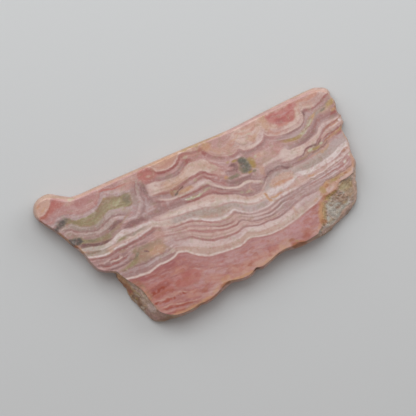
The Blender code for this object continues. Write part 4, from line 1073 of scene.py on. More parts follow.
def paint_base_left(patch, stroke, spot):
    """The left part of the red base."""
    patch("dark_red", 0.35, 0.9, (8, 28.7), (18, 28.3), (18.4, 29.4), (13, 29.8), (8, 29.8))
    spot("brick", 6, 29.6, 1.1, 1.4, 0.7, 0.9)
    stroke("pink", 0.4, 0.5, 0.3, (9, 30.4), (10.8, 30.8), (12.6, 30.5))
    spot("deep_rose", 14.8, 30.6, 1, 0.7, 0.7, 0.9)
    spot("coral", 18.6, 30.8, 2.3, 0.8, 0.8, 0.9)
    patch("red", 0.8, 1.4, (7, 31.6), (10, 31.4), (14.6, 31.4), (15.4, 32.4), (14.8, 35.4), (11, 35.8),
        (7.6, 35.6), (6.6, 33.4))
    patch("dark_red", 0.7, 0.9, (8.4, 32.4), (11, 31.9), (14.4, 32.1), (14.6, 33.4), (12, 34), (8.4, 34))
    spot("dark_red", 13.8, 32.6, 0.5, 0.35, 0.7, 0.7, 20)
    stroke("ember", 0.9, 0.85, 0.5, (8, 33.8), (11.4, 33.4), (13.2, 33.5))
    stroke("brick", 0.9, 0.7, 0.6, (7.8, 34.8), (11, 34.7), (15, 35.2))
    stroke("umber", 2.4, 0.7, 1.4, (4.6, 28.2), (5.9, 29.6), (6.6, 31.3), (7, 33.2), (7.2, 36))
    stroke("orange", 0.7, 0.6, 0.5, (6.9, 30.8), (7.6, 35.4))
    stroke("tan", 0.9, 0.5, 0.9, (7.2, 35.8), (7.9, 37.4), (9, 39))
    patch("red", 0.8, 1, (15.8, 32.2), (18.4, 31.9), (22.4, 32), (24, 33.4), (22.6, 35.6), (18.6, 35.9),
        (16, 34.8))
    spot("eye_red", 16.6, 33.6, 0.8, 0.8, 0.55, 0.9)
    spot("eye_red", 19.8, 33.3, 1.1, 1.3, 0.55, 0.9)
    spot("salmon", 13.4, 35.9, 3, 0.4, 0.5, 0.9, 4)
    stroke("peach", 0.45, 0.65, 0.35, (8.3, 36.1), (14, 36.6), (15.8, 36.3), (17.4, 37.2), (19, 37.8),
        (22, 38))
    stroke("ember", 0.7, 0.9, 0.3, (8.2, 36.7), (10, 36.9))
    stroke("ember", 0.7, 0.9, 0.3, (10.2, 37), (12, 37.1), (13.2, 37), (14.4, 37.3))
    stroke("ember", 0.6, 0.85, 0.3, (15.6, 36.8), (16.6, 37.1), (17.4, 37.8))
    stroke("deep_rose", 0.6, 0.7, 0.4, (8.4, 37.6), (12, 37.9), (18, 39))
    stroke("peach", 0.4, 0.75, 0.25, (8.8, 38.2), (12, 38.5), (17, 39.8), (20, 40.4), (22, 40.2))
    stroke("ember", 0.6, 0.7, 0.4, (9, 38.8), (12.2, 39.2), (14, 39.7), (16, 39.9), (18, 40.5))
    stroke("salmon", 0.5, 0.6, 0.4, (9, 39.6), (12, 40.2), (16, 41.2))
    spot("ember", 13.8, 41.1, 1.9, 0.4, 0.5, 0.8, 5)
    spot("tan", 18.6, 41.4, 3, 0.7, 0.6, 0.9)
    spot("coral", 19, 38.6, 2.2, 0.9, 0.6, 0.9, 10)
    spot("brick", 22.5, 38.7, 1, 0.6, 0.6, 0.9)
    spot("brick", 23.3, 37.6, 0.8, 0.5, 0.6, 0.9)
    spot("coral", 26.5, 37, 3.2, 1.6, 0.65, 0.9, 20)
    patch("orange", 0.75, 0.7, (27.8, 37.8), (29.4, 37.4), (30.6, 37.8), (30.4, 39.6), (28.2, 39.6))
    stroke("blush", 0.5, 0.55, 0.5, (21.5, 31.8), (27.5, 34.8), (30, 35.3))
    spot("pink", 25.5, 34.4, 3.2, 0.6, 0.4, 0.9, 25)
    spot("pink", 22, 37, 1.6, 1, 0.4, 0.9)
    stroke("pink", 0.4, 0.7, 0.3, (31, 33), (30.2, 35), (29.2, 37))


def paint_base_right(patch, stroke, spot):
    """The right part of the red base."""
    spot("pink", 36, 35, 2.2, 0.7, 0.6, 0.9)
    spot("pink", 42, 33, 2.4, 0.9, 0.5, 0.9)
    patch("coral", 0.7, 1.2, (31, 36.3), (42, 36), (47, 36), (47, 38.2), (36, 39.8), (30, 40))
    spot("brick", 33.5, 36.2, 1.1, 0.5, 0.55, 0.9, 10)
    spot("brick", 37.2, 37.5, 1.1, 0.5, 0.55, 0.9, -10)
    spot("brick", 39.5, 35.5, 0.9, 0.5, 0.5, 0.9)
    stroke("brick", 0.5, 0.65, 0.4, (43.6, 35.6), (43.3, 37.6))
    spot("apricot", 41, 38.6, 2.8, 0.6, 0.65, 0.9, -6)
    spot("orange", 47.5, 37.2, 0.8, 0.8, 0.55, 0.9)
    spot("peach", 32.5, 39.1, 1.2, 0.35, 0.75, 0.8)
    spot("peach", 36.9, 39.1, 0.9, 0.35, 0.7, 0.8)
    spot("peach", 48.8, 37.7, 0.9, 0.5, 0.75, 0.8)
    spot("apricot", 48.5, 36.2, 2.4, 1, 0.5, 0.9)
    spot("rust", 50.4, 36.2, 0.7, 0.5, 0.7, 0.9)
    spot("rust", 51.9, 38, 2, 0.8, 0.95, 0.7, 8)
    spot("mustard", 51.5, 36.9, 0.6, 0.3, 0.8, 0.8)
    patch("pink", 0.75, 1.2, (51, 32.2), (58.5, 30.9), (59.8, 31.5), (58.6, 34), (55, 35), (51.5, 35.2),
        (50, 34))
    spot("brick", 55.2, 36.4, 1.7, 0.9, 0.6, 0.9, -10)
    spot("deep_rose", 58, 34.6, 1.1, 0.9, 0.75, 0.9, -40)
    spot("dark_red", 60.5, 30.4, 0.9, 0.35, 0.7, 0.8, -15)
    spot("salmon", 57.2, 36.8, 1.4, 0.7, 0.6, 0.9)
    stroke("apricot", 0.7, 0.5, 0.5, (54.5, 27.6), (54.7, 29), (54.5, 30.8))
    spot("apricot", 61.3, 28.8, 1, 0.4, 0.6, 0.9, -10)


def paint_lower_fringe(patch, stroke, spot):
    """The orange fringe of the lower edge."""
    stroke("peach", 1.5, 0.4, 0.9, (21, 41.2), (26, 39.6), (30, 38.8), (34, 38.9), (38, 38.4), (42, 38.1),
        (46, 37.2), (50, 36.8))
    stroke("orange", 0.5, 0.5, 0.4, (40, 38.9), (43, 38.5), (46, 37.7), (49, 37.5))
    stroke("orange", 0.6, 0.5, 0.5, (24, 40.6), (26.4, 39.9), (28.6, 39))
    spot("lime", 36.4, 22.9, 1.8, 0.3, 0.4, 0.6, 5)


def paint_stained_corner(patch, stroke, spot):
    """The stained corner above the broad slope."""
    patch("apricot", 0.85, 0.7, (63.9, 26.2), (66, 25.3), (72, 24.8), (75.2, 24), (74.8, 25.8),
        (73.4, 26.8), (70.6, 26.9), (69.2, 27.2), (67.5, 28.4), (65.2, 29.2), (63.6, 29.4), (63, 28.2))
    stroke("brown", 0.25, 0.6, 0.15, (64.2, 25.6), (66, 25.2), (69, 25), (73.5, 24.3), (75.5, 23.5))
    stroke("ochre", 0.9, 0.5, 0.6, (64.4, 26.3), (66.4, 25.7), (72, 25.4))
    spot("orange", 65.5, 26.1, 1.2, 0.6, 0.75, 0.8, -20)
    spot("mustard", 68.2, 25.8, 1.4, 0.4, 0.7, 0.8, -5)
    spot("brown", 70.4, 26.1, 0.7, 0.35, 0.7, 0.8, -5)
    spot("rust", 65.7, 26.5, 0.5, 0.3, 0.7, 0.8)
    spot("rust", 71.2, 26.2, 0.5, 0.35, 0.8, 0.8)
    spot("rust", 72.1, 25.5, 0.5, 0.35, 0.8, 0.8)
    spot("orange", 73.4, 25.6, 1, 0.5, 0.7, 0.8, -20)
    spot("ochre", 64.2, 27, 0.7, 1.1, 0.7, 0.9)
    patch("blush", 0.85, 0.5, (65, 27.1), (67, 26.9), (68.4, 27.2), (66.9, 28.1), (65.4, 28.4),
        (64.8, 27.8))
    stroke("orange", 0.2, 0.4, 0.15, (65.5, 27.5), (67, 27.2), (68.5, 27.3))
    spot("rust", 63.8, 29.3, 0.9, 0.6, 0.7, 0.9)
    stroke("orange", 0.9, 0.8, 0.5, (62.6, 29.4), (61.7, 31), (60.4, 32.6), (59.8, 34.2))
    stroke("rust", 0.5, 0.6, 0.4, (62.2, 30.6), (61.2, 32))
    spot("rust", 60.5, 34.9, 0.8, 0.9, 0.9, 0.8)
    stroke("orange", 0.8, 0.6, 0.5, (59.6, 35.4), (58.4, 36.6))


def paint_ground_edge(patch, stroke, spot):
    """The ground edge."""
    stroke("apricot", 0.4, 0.5, 0.3, (-4, -0.3), (2, 0.3), (20, 0.4))
    stroke("tan", 0.6, 0.5, 0.4, (-6, -3), (-1, -0.2), (0.4, 0.1))
    spot("pale_green", -1.3, 0.1, 0.7, 0.4, 0.6, 0.8)
    stroke("orange", 0.4, 0.5, 0.3, (22, 0.5), (27, 0.7), (32, 0.6))
    stroke("ochre", 0.4, 0.6, 0.3, (31, 0.7), (45.6, 1))
    stroke("rose", 0.9, 0.75, 0.4, (46.4, 1), (60, 0.7), (74, 0.8))
    stroke("mauve", 0.25, 0.6, 0.2, (47, 0.8), (60, 0.5))
    stroke("salmon", 0.8, 0.6, 0.4, (73, 0.9), (75, 1.4), (76.6, 2.4))


def paint_left_edge(patch, stroke, spot):
    """The left edge."""
    stroke("peach", 0.7, 0.6, 0.3, (-8, -3.8), (-10.6, -3.2), (-12, -1.2), (-12.1, 0.5), (-11.8, 1.4))
    stroke("brick", 0.4, 0.5, 0.3, (-11.6, 1.6), (-9.8, 5))
    stroke("brown", 0.6, 0.8, 0.3, (-10, 5), (-6.8, 10))
    stroke("orange", 0.5, 0.85, 0.3, (-8.2, 7), (-6.7, 9.8), (-6.1, 11.2))
    spot("rust", -5.2, 12.9, 0.6, 0.4, 0.85, 0.6, 60)
    stroke("orange", 0.6, 0.6, 0.3, (-4.7, 13.3), (-3.7, 15.6))
    stroke("taupe", 0.6, 0.45, 0.4, (-4, 16.6), (-3.5, 18.8), (-2.8, 21))
    stroke("rose", 0.7, 0.5, 0.3, (-2.4, 21.3), (-0.8, 22.7), (0.4, 23.3))
    stroke("orange", 0.6, 0.6, 0.3, (0.2, 23.3), (1.4, 23.6), (2.3, 24.2))


def paint_steep_wall(patch, stroke, spot):
    """The steep matrix wall."""
    stroke("rust", 0.8, 0.7, 0.4, (1.2, 24), (1.5, 25.8), (2.2, 27.6), (3, 29))
    stroke("orange", 0.9, 0.8, 0.4, (2.1, 24.2), (2.5, 26), (3.1, 27.6), (4, 29.4))
    stroke("rust", 1.6, 0.6, 0.6, (2.7, 28.2), (3.7, 31.4))
    spot("dark_red", 3.5, 30.3, 0.6, 0.45, 0.6, 0.6)
    stroke("beige", 1.3, 0.6, 0.6, (4.4, 28.6), (5, 30.4), (6.1, 33))
    stroke("ochre", 0.5, 0.5, 0.5, (4, 28.8), (5.2, 33))
    stroke("plum", 0.3, 0.6, 0.3, (4.6, 29.8), (5.4, 31.6), (5.8, 33.2))
    stroke("brown", 1.2, 0.7, 0.6, (3.4, 31.6), (4.8, 35.6))
    stroke("tan", 1, 0.6, 0.5, (5.2, 33.6), (6, 35.2), (6.8, 36.2))
    spot("mustard", 3.9, 33.3, 0.4, 0.25, 0.7, 0.6, 60)
    stroke("beige", 1, 0.6, 0.5, (5.5, 33), (5.9, 34.8), (6.4, 36))
    spot("pale_lilac", 6.8, 37.2, 1.7, 0.9, 0.7, 0.6, 70)
    stroke("mauve", 1.4, 0.6, 0.6, (5.1, 36.6), (5.9, 39.2), (7.4, 41))
    stroke("umber", 1, 0.6, 0.8, (7.4, 41), (9, 41.5), (11, 41.9))
    spot("rose", 8, 40, 1.6, 1.2, 0.5, 0.9, 30)


def paint_lower_edge(patch, stroke, spot):
    """The lower edge."""
    stroke("orange", 0.8, 0.65, 0.5, (11.4, 41.2), (15, 41.9), (20, 41.6), (24.6, 40.9))
    spot("lime", 17, 42.2, 0.7, 0.3, 0.5, 0.6)
    stroke("rust", 0.5, 0.6, 0.3, (18.6, 42), (22.6, 41.8), (27.4, 40.6))
    stroke("rust", 0.9, 0.8, 0.3, (27, 40), (28.6, 39.6), (30.2, 39.5))
    stroke("orange", 0.8, 0.7, 0.4, (30, 39.4), (33, 39.8), (36, 39.8), (37.6, 39.3))
    spot("dark_brown", 38.1, 39.6, 0.7, 0.4, 0.8, 0.6)
    stroke("apricot", 0.9, 0.75, 0.4, (38.8, 39.1), (41.4, 39), (44.6, 38))
    stroke("brown", 0.4, 0.7, 0.3, (44.2, 38.6), (46, 38.2), (49.2, 38.4))
    stroke("rust", 1.2, 0.85, 0.4, (50, 38), (52, 38.3), (54, 38.4))
    stroke("tan", 0.8, 0.6, 0.4, (53.8, 38.4), (58.4, 38))


def paint_broad_slope(patch, stroke, spot):
    """The broad matrix slope, with painted light along its steep top."""
    stroke("ochre", 1.6, 0.65, 0.9, (63.4, 29.8), (62.4, 31.4), (61.6, 33), (60.4, 36))
    stroke("orange", 0.9, 0.8, 0.5, (62.4, 30.6), (61.2, 32.6), (60.6, 34.2), (59.9, 35.6))
    stroke("rust", 0.8, 0.6, 0.5, (63.2, 28.9), (64.6, 29.2), (66.2, 29), (68, 28.3))
    stroke("tan", 2.2, 0.5, 1, (69.4, 31.4), (71.4, 30.4), (73, 28.4))
    spot("rust", 60.7, 35.2, 0.8, 0.6, 0.7, 0.7, 40)
    patch("quartz", 0.6, 0.8, (63, 31), (64.6, 30.8), (66.4, 31.6), (65.7, 33), (65.2, 35.3), (63.6, 35.3),
        (62.9, 33.4))
    stroke("mustard", 0.8, 0.65, 0.5, (63.5, 29.8), (68.2, 28.6))
    patch("ochre", 0.5, 0.8, (68, 27.8), (70.4, 27.2), (72.8, 27.4), (72.6, 29.6), (69.4, 30))
    patch("lime", 0.4, 0.6, (68.6, 28), (70.8, 27.8), (71.2, 29), (69, 29.4))
    spot("brown", 64.7, 32, 0.5, 0.3, 0.6, 0.6, 30)
    spot("brown", 65.8, 33, 0.6, 0.3, 0.6, 0.6, -20)
    spot("brown", 68.6, 31.5, 0.6, 0.35, 0.6, 0.6, 40)
    spot("dark_brown", 66.3, 34.8, 0.6, 0.3, 0.5, 0.6)
    stroke("peach", 1, 0.65, 0.6, (74.2, 26), (72.6, 31), (71.2, 33.6))
    stroke("peach", 1.1, 0.75, 0.6, (71, 33.8), (68, 34.8), (66, 36), (63, 37), (58, 38.2))
    stroke("quartz", 0.9, 0.6, 0.6, (70.6, 32.6), (67.4, 33.8), (64, 36.2), (60, 37))
    # Painted light: this pale blush stroke along the slope's steep top lightens the shade of the step below
    # the polished face.
    stroke("blush", 0.9, 0.75, 0.4, (69.5, 26.5), (72, 26.3), (74, 25.7), (75.4, 24.6))
    stroke("blush", 1, 0.6, 0.5, (75.6, 24.8), (75, 26.8), (74, 29))


def paint_ragged_end(patch, stroke, spot):
    """The ragged end, its wall partly lightened by painted light."""
    spot("ochre", 76.9, 5.3, 0.5, 0.4, 0.7, 0.6, 90)
    spot("rust", 77.2, 7.6, 0.7, 0.4, 0.6, 0.6, 90)
    spot("brown", 77.3, 9.8, 0.5, 0.4, 0.5, 0.6, 90)
    spot("white", 76.8, 10.9, 0.5, 0.4, 0.7, 0.6, 90)
    spot("orange", 76.1, 13.6, 0.6, 0.4, 0.7, 0.6, 90)
    stroke("apricot", 0.5, 0.6, 0.3, (76, 14.5), (76.2, 17.8))
    # The peach and apricot strokes below are partly the wall's own colour and partly painted light: they are
    # lighter, as if the wall were lit more strongly from the right.
    stroke("peach", 0.6, 0.6, 0.3, (76, 17.8), (75.7, 20.4))
    stroke("apricot", 1, 0.7, 0.4, (75.5, 21), (75.5, 23), (75, 25.2))


# The marks in the order they are painted: the face first, then the edges and walls.
FACE_PARTS = (
    paint_tip, paint_olive_lens, paint_below_lens, paint_lower_slate, paint_fold, paint_first_lobe,
    paint_pitted_lens, paint_crystal_seam, paint_slate_pocket, paint_rose_patches, paint_third_lobe,
    paint_eye, paint_fifth_lobe, paint_right_rim, paint_tan_lens, paint_bright_grains, paint_base_left,
    paint_base_right, paint_lower_fringe, paint_stained_corner,
)
WALL_PARTS = (
    paint_ground_edge, paint_left_edge, paint_steep_wall, paint_lower_edge, paint_broad_slope,
    paint_ragged_end,
)


def cad_mesh(node):
    """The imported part's points in millimetres, with doubled ones joined, and its triangles."""
    mesh = node.data
    mesh.calc_loop_triangles()
    points = np.empty(3 * len(mesh.vertices))
    mesh.vertices.foreach_get("co", points)
    triangles = np.empty(3 * len(mesh.loop_triangles), np.int32)
    mesh.loop_triangles.foreach_get("vertices", triangles)
    points = np.round(points.reshape(-1, 3) / MILLIMETRE, 4)
    points, joined = np.unique(points, axis=0, return_inverse=True)
    return points, joined.reshape(-1)[triangles].reshape(-1, 3)


def outline_at(points, triangles, height):
    """The corners of the flat face at a height, in order round it."""
    level = np.abs(points[:, 2] - height) < LEVEL_TOLERANCE
    flat = triangles[level[triangles].all(axis=1)]
    edges = {(row[k - 1], row[k]) for row in flat.tolist() for k in range(3)}
    following = {start: end for start, end in edges if (end, start) not in edges}
    ring = [min(following)]
    while following[ring[-1]] != ring[0]:
        ring.append(following[ring[-1]])
    return points[ring, :2]


def spaced_ring(ring, count):
    """A closed ring's points at equal distances, smoothed a little at its corners."""
    closed = np.vstack((ring[-2:], ring, ring[:3]))
    steps = np.linspace(0, 1, CURVE_STEPS, endpoint=False)[:, None]
    spans = []
    for p0, p1, p2, p3 in zip(closed, closed[1:], closed[2:], closed[3:]):
        linear = (p2 - p0) * steps
        square = (2 * p0 - 5 * p1 + 4 * p2 - p3) * steps**2
        cube = (3 * p1 - p0 - 3 * p2 + p3) * steps**3
        spans.append(p1 + 0.5 * (linear + square + cube))
    curve = np.vstack(spans[1 : len(ring) + 1] + [spans[1][:1]])
    travelled = np.concatenate(([0.0], np.cumsum(np.linalg.norm(np.diff(curve, axis=0), axis=1))))
    wanted = np.linspace(0, travelled[-1], count, endpoint=False)
    return np.column_stack([np.interp(wanted, travelled, curve[:, axis]) for axis in (0, 1)])


def ring_average(values, reach):
    """Each value of a ring averaged with its neighbours, up to a number of places away."""
    return np.mean([np.roll(values, shift, axis=0) for shift in range(-reach, reach + 1)], axis=0)


def to_drawing(x, y):
    return x + MIDDLE_U, MIDDLE_V - y


def stretch_shares(ring):
    """How much of each outline point belongs to each stretch of the edge, by name."""
    u, v = to_drawing(ring[:, 0], ring[:, 1])
    starts = [int(np.argmin(np.hypot(u - corner_u, v - corner_v))) for name, corner_u, corner_v in STRETCHES]
    turn = np.sign(np.diff(starts + starts[:1])).sum()
    places = np.arange(len(ring))
    shares = {}
    for k, (name, corner_u, corner_v) in enumerate(STRETCHES):
        ends = (starts[k], starts[(k + 1) % len(STRETCHES)])
        first, last = ends if turn > 0 else ends[::-1]
        inside = (places - first) % len(ring) < (last - first) % len(ring)
        shares[name] = ring_average(inside.astype(float), STRETCH_BLEND)
    return shares


def wall_grid(points, triangles, ring):
    """Rows of wall points from the polished outline down to the rest face."""
    foot = outline_at(points, triangles, 0.0)
    foot = spaced_ring(foot, 3 * len(ring))
    gaps = foot[None] - ring[:, None]
    nearest = np.argmin((gaps**2).sum(axis=2), axis=1)
    outwards = foot[nearest] - ring
    outwards /= np.linalg.norm(outwards, axis=1)[:, None]
    outwards = ring_average(outwards, DIRECTION_REACH)
    outwards /= np.linalg.norm(outwards, axis=1)[:, None]
    tree = BVHTree.FromPolygons(points.tolist(), triangles.tolist())
    top = points[:, 2].max()
    heights = top - top * np.linspace(0, 1, WALL_LEVELS + 1) ** LEVEL_CROWDING
    heights[-1] = LOWEST_LEVEL
    grid = np.empty((WALL_ROWS + 1, len(ring), 3))
    for column, (start, way) in enumerate(zip(ring, outwards)):
        profile = [(*start, top)]
        for height in heights[1:]:
            origin = (*(start - RAY_INSET * way), height)
            place = tree.ray_cast(origin, (*way, 0.0))[0]
            if place is not None:
                profile.append(tuple(place))
        profile = np.array(profile)
        profile[-1, 2] = 0.0
        travelled = np.concatenate(([0.0], np.cumsum(np.linalg.norm(np.diff(profile, axis=0), axis=1))))
        wanted = np.linspace(0, travelled[-1], WALL_ROWS + 1)
        for axis in range(3):
            grid[:, column, axis] = np.interp(wanted, travelled, profile[:, axis])
    return grid


def roughened(grid, shares):
    """The wall points moved in and out by the rock's relief."""
    across = np.roll(grid, -1, axis=1) - np.roll(grid, 1, axis=1)
    down = np.gradient(grid, axis=0)
    normals = np.cross(across, down)
    normals /= np.maximum(np.linalg.norm(normals, axis=2), 1e-9)[:, :, None]
    if (normals[:, :, 2] < 0).mean() > 0.5:
        normals = -normals
    amount = sum(shares[name] * RELIEF[name] for name in RELIEF)
    grains = sum(shares[name] for name in GRAINY)
    ease = np.ones(WALL_ROWS + 1)
    ease[[0, -1]] = 0.0
    ease[1] = 0.5
    moved = grid.copy()
    for row in range(1, WALL_ROWS):
        for column in range(grid.shape[1]):
            place = Vector(grid[row, column])
            lumps = rock.noise(place / LUMP_SIZE) + 0.5 * rock.noise(place / SMALL_LUMP_SIZE)
            facets = FACET_LEVEL - rock.voronoi(place / FACET_SIZE)[0][0]
            height = LUMP_SHARE * lumps + grains[column] * facets
            moved[row, column] += normals[row, column] * height * amount[column] * ease[row]
    low = np.array(CAD_BOUNDS[0]) / MILLIMETRE
    high = np.array(CAD_BOUNDS[1]) / MILLIMETRE
    return np.clip(moved, low, high)


def filled(ring, step_x, step_y):
    """Points and triangles that fill a ring. The ring's own points come first."""
    low = ring.min(axis=0)
    high = ring.max(axis=0)
    rows = np.arange(low[1], high[1], step_y)
    columns = np.arange(low[0], high[0], step_x)
    x, y = np.meshgrid(columns, rows)
    x = x + step_x / 2 * (np.arange(len(rows)) % 2)[:, None]
    x, y = x.ravel(), y.ravel()
    inside = inside_outline(ring, x, y)
    x, y = x[inside], y[inside]
    clear = np.ones(x.shape, bool)
    for corner in ring:
        box = np.flatnonzero((np.abs(x - corner[0]) < step_y) & (np.abs(y - corner[1]) < step_y))
        clear[box] &= np.hypot(x[box] - corner[0], y[box] - corner[1]) > EDGE_CLEARANCE * step_y
    inner = np.column_stack((x[clear], y[clear]))
    every = np.vstack((ring, inner))
    edges = [(k, (k + 1) % len(ring)) for k in range(len(ring))]
    outline = [list(range(len(ring)))]
    joined = delaunay_2d_cdt([Vector(point) for point in every], edges, outline, FILL_INSIDE, FILL_TOLERANCE)
    if len(joined[0]) != len(every):
        raise RuntimeError("the fill moved some points of the outline")
    return inner, np.array(joined[2])


def stain(canvas, grains, amount, seed, stretch=1.0):
    """Scatter grains of each mineral where the amount allows, drawn out along the bands by the stretch."""
    for number, (mineral, size, least, strength) in enumerate(grains):
        p = canvas.loose_u / (size * stretch)
        q = canvas.loose_v / size
        r = canvas.depth / size
        value = solid_noise(p, q, r, seed + number)
        finer = solid_noise(FINE_RATIO * p, FINE_RATIO * q, FINE_RATIO * r, seed + 40 + number)
        shown = smooth((value + FINE_SHARE * finer - least) / GRAIN_EDGE + 0.5)
        canvas.lay(mineral, shown * strength * amount)


def painted(points, depth, shares=None):
    """The colour and the layer number of points of the slice.

    Points of the walls come with their shares, which say what stretch of the edge they're in.
    """
    u, v = to_drawing(points[:, 0], points[:, 1])
    canvas = Canvas(u, v, depth)
    paint_bands(canvas)
    paint_laminae(canvas)
    paint_marks(canvas, FACE_PARTS)
    base = smooth(canvas.layer - BASE_START)
    stain(canvas, FACE_GRAINS, 1 - base, 100)
    stain(canvas, BASE_GRAINS, base, 120, 2.0)
    if shares is not None:
        broken = sum(shares[name] for name in GRAINY)
        ground = shares["tip"] + shares["straight"]
        below = smooth(depth / RIM_DEPTH)
        # The edge stains, partly painted light that lightens the walls in shade.
        stain(canvas, EDGE_STAINS_AND_PAINTED_LIGHT, (1 - broken - ground) * below, 60)
        stain(canvas, GROUND_STAINS, ground * below, 70)
        canvas.lay("grey_beige", broken * below * MATRIX_COVER)
        stain(canvas, ROCK_GRAINS, broken * below, 80)
        canvas.lay("orange", shares["steep"] * below * STEEP_TINT)
    plain = canvas.colour.copy()
    paint_marks(canvas, WALL_PARTS)
    if shares is not None:
        faded = smooth((depth - MARK_DEPTH + 0.5 * noise(u, v, 90)) / MARK_FADE)
        held = broken + (1 - broken) * (1 - faded)
        canvas.colour = plain + (canvas.colour - plain) * held[..., None]
    return canvas.colour, canvas.layer


def albedo(seen):
    """The linear base colour that looks like the seen colour in this scene's light."""
    share = seen / 255
    linear = np.where(share < 0.04045, share / 12.92, ((share + 0.055) / 1.055) ** 2.4)
    return np.clip((linear - SURFACE_SHINE) / LIGHT_GAIN, 0.01, 0.9)


def set_values(mesh, name, kind, values):
    """Keep a value for each point of the mesh, for its materials."""
    attribute = mesh.attributes.new(name, kind, "POINT")
    attribute.data.foreach_set("color" if kind == "FLOAT_COLOR" else "value", np.ravel(values))


def turned_up(points, faces):
    """The triangles with their fronts upwards."""
    a, b, c = (points[faces[:, k], :2] for k in range(3))
    area = (b[:, 0] - a[:, 0]) * (c[:, 1] - a[:, 1]) - (b[:, 1] - a[:, 1]) * (c[:, 0] - a[:, 0])
    return np.where(area[:, None] > 0, faces, faces[:, ::-1])


def build_stone(name):
    """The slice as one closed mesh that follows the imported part."""
    points, triangles = cad_mesh(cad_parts[NODE_NAME])
    top = points[:, 2].max()
    ring = spaced_ring(outline_at(points, triangles, top), OUTLINE_POINTS)
    shares = stretch_shares(ring)
    grid = roughened(wall_grid(points, triangles, ring), shares)
    rows, count = grid.shape[:2]
    face_inner, face_triangles = filled(grid[0, :, :2], *FACE_STEPS)
    rest_inner, rest_triangles = filled(grid[-1, :, :2], *REST_STEPS)
    face_inner = np.column_stack((face_inner, np.full(len(face_inner), top)))
    rest_inner = np.column_stack((rest_inner, np.zeros(len(rest_inner))))
    every = np.vstack((grid.reshape(-1, 3), face_inner, rest_inner))

    wall_points = rows * count
    face_places = np.concatenate((np.arange(count), wall_points + np.arange(len(face_inner))))
    rest_places = np.concatenate((
        (rows - 1) * count + np.arange(count), wall_points + len(face_inner) + np.arange(len(rest_inner))
    ))
    face_triangles = turned_up(every, face_places[face_triangles])
    rest_triangles = turned_up(every, rest_places[rest_triangles])[:, ::-1]
    here = np.arange(wall_points - count).reshape(rows - 1, count)
    beside = np.roll(here, -1, axis=1)
    quads = np.stack((here, here + count, beside + count, beside), axis=-1).reshape(-1, 4)
    quads = quads[:, ::-1] if ring_area(grid[0]) < 0 else quads

    mesh = bpy.data.meshes.new(name)
    faces = face_triangles.tolist() + quads.tolist() + rest_triangles.tolist()
    mesh.from_pydata((every * MILLIMETRE).tolist(), [], faces)
    kinds = np.repeat((0, 1, 2), (len(face_triangles), len(quads), len(rest_triangles)))
    mesh.polygons.foreach_set("material_index", kinds)
    mesh.shade_smooth()
    rims = {(k, (k + 1) % count) for k in range(count)}
    rims |= {(wall_points - count + a, wall_points - count + b) for a, b in rims}
    rims = {tuple(sorted(edge)) for edge in rims}
    ends = np.empty(2 * len(mesh.edges), np.int32)
    mesh.edges.foreach_get("vertices", ends)
    sharp = [tuple(sorted(edge)) in rims for edge in ends.reshape(-1, 2).tolist()]
    mesh.attributes.new("sharp_edge", "BOOLEAN", "EDGE").data.foreach_set("value", sharp)

    wall_shares = {key: np.tile(value, rows) for key, value in shares.items()}
    wall = painted(grid.reshape(-1, 3), top - grid[:, :, 2].ravel(), wall_shares)
    face = painted(face_inner, np.zeros(len(face_inner)))
    rest = painted(rest_inner, np.full(len(rest_inner), top))
    colours = albedo(np.vstack((wall[0], face[0], rest[0])))
    rock_share = sum(wall_shares[key] for key in GRAINY)
    ground_share = wall_shares["tip"] + wall_shares["straight"]
    blank = np.zeros(len(face_inner) + len(rest_inner))
    set_values(mesh, "stone_colour", "FLOAT_COLOR", np.column_stack((colours, np.ones(len(colours)))))
    set_values(mesh, "layer", "FLOAT", np.concatenate((wall[1], face[1], rest[1])))
    set_values(mesh, "rock", "FLOAT", np.concatenate((rock_share, blank)))
    set_values(mesh, "ground", "FLOAT", np.concatenate((ground_share, blank)))
    for material in (polished_stone(), broken_stone(), sawn_stone()):
        mesh.materials.append(material)
    stone = bpy.data.objects.new(name, mesh)
    bpy.context.scene.collection.objects.link(stone)
    return stone


def ring_area(ring):
    """Twice the ring's area, positive when it runs anticlockwise."""
    x, y = ring[:, 0], ring[:, 1]
    return (x * np.roll(y, -1) - y * np.roll(x, -1)).sum()


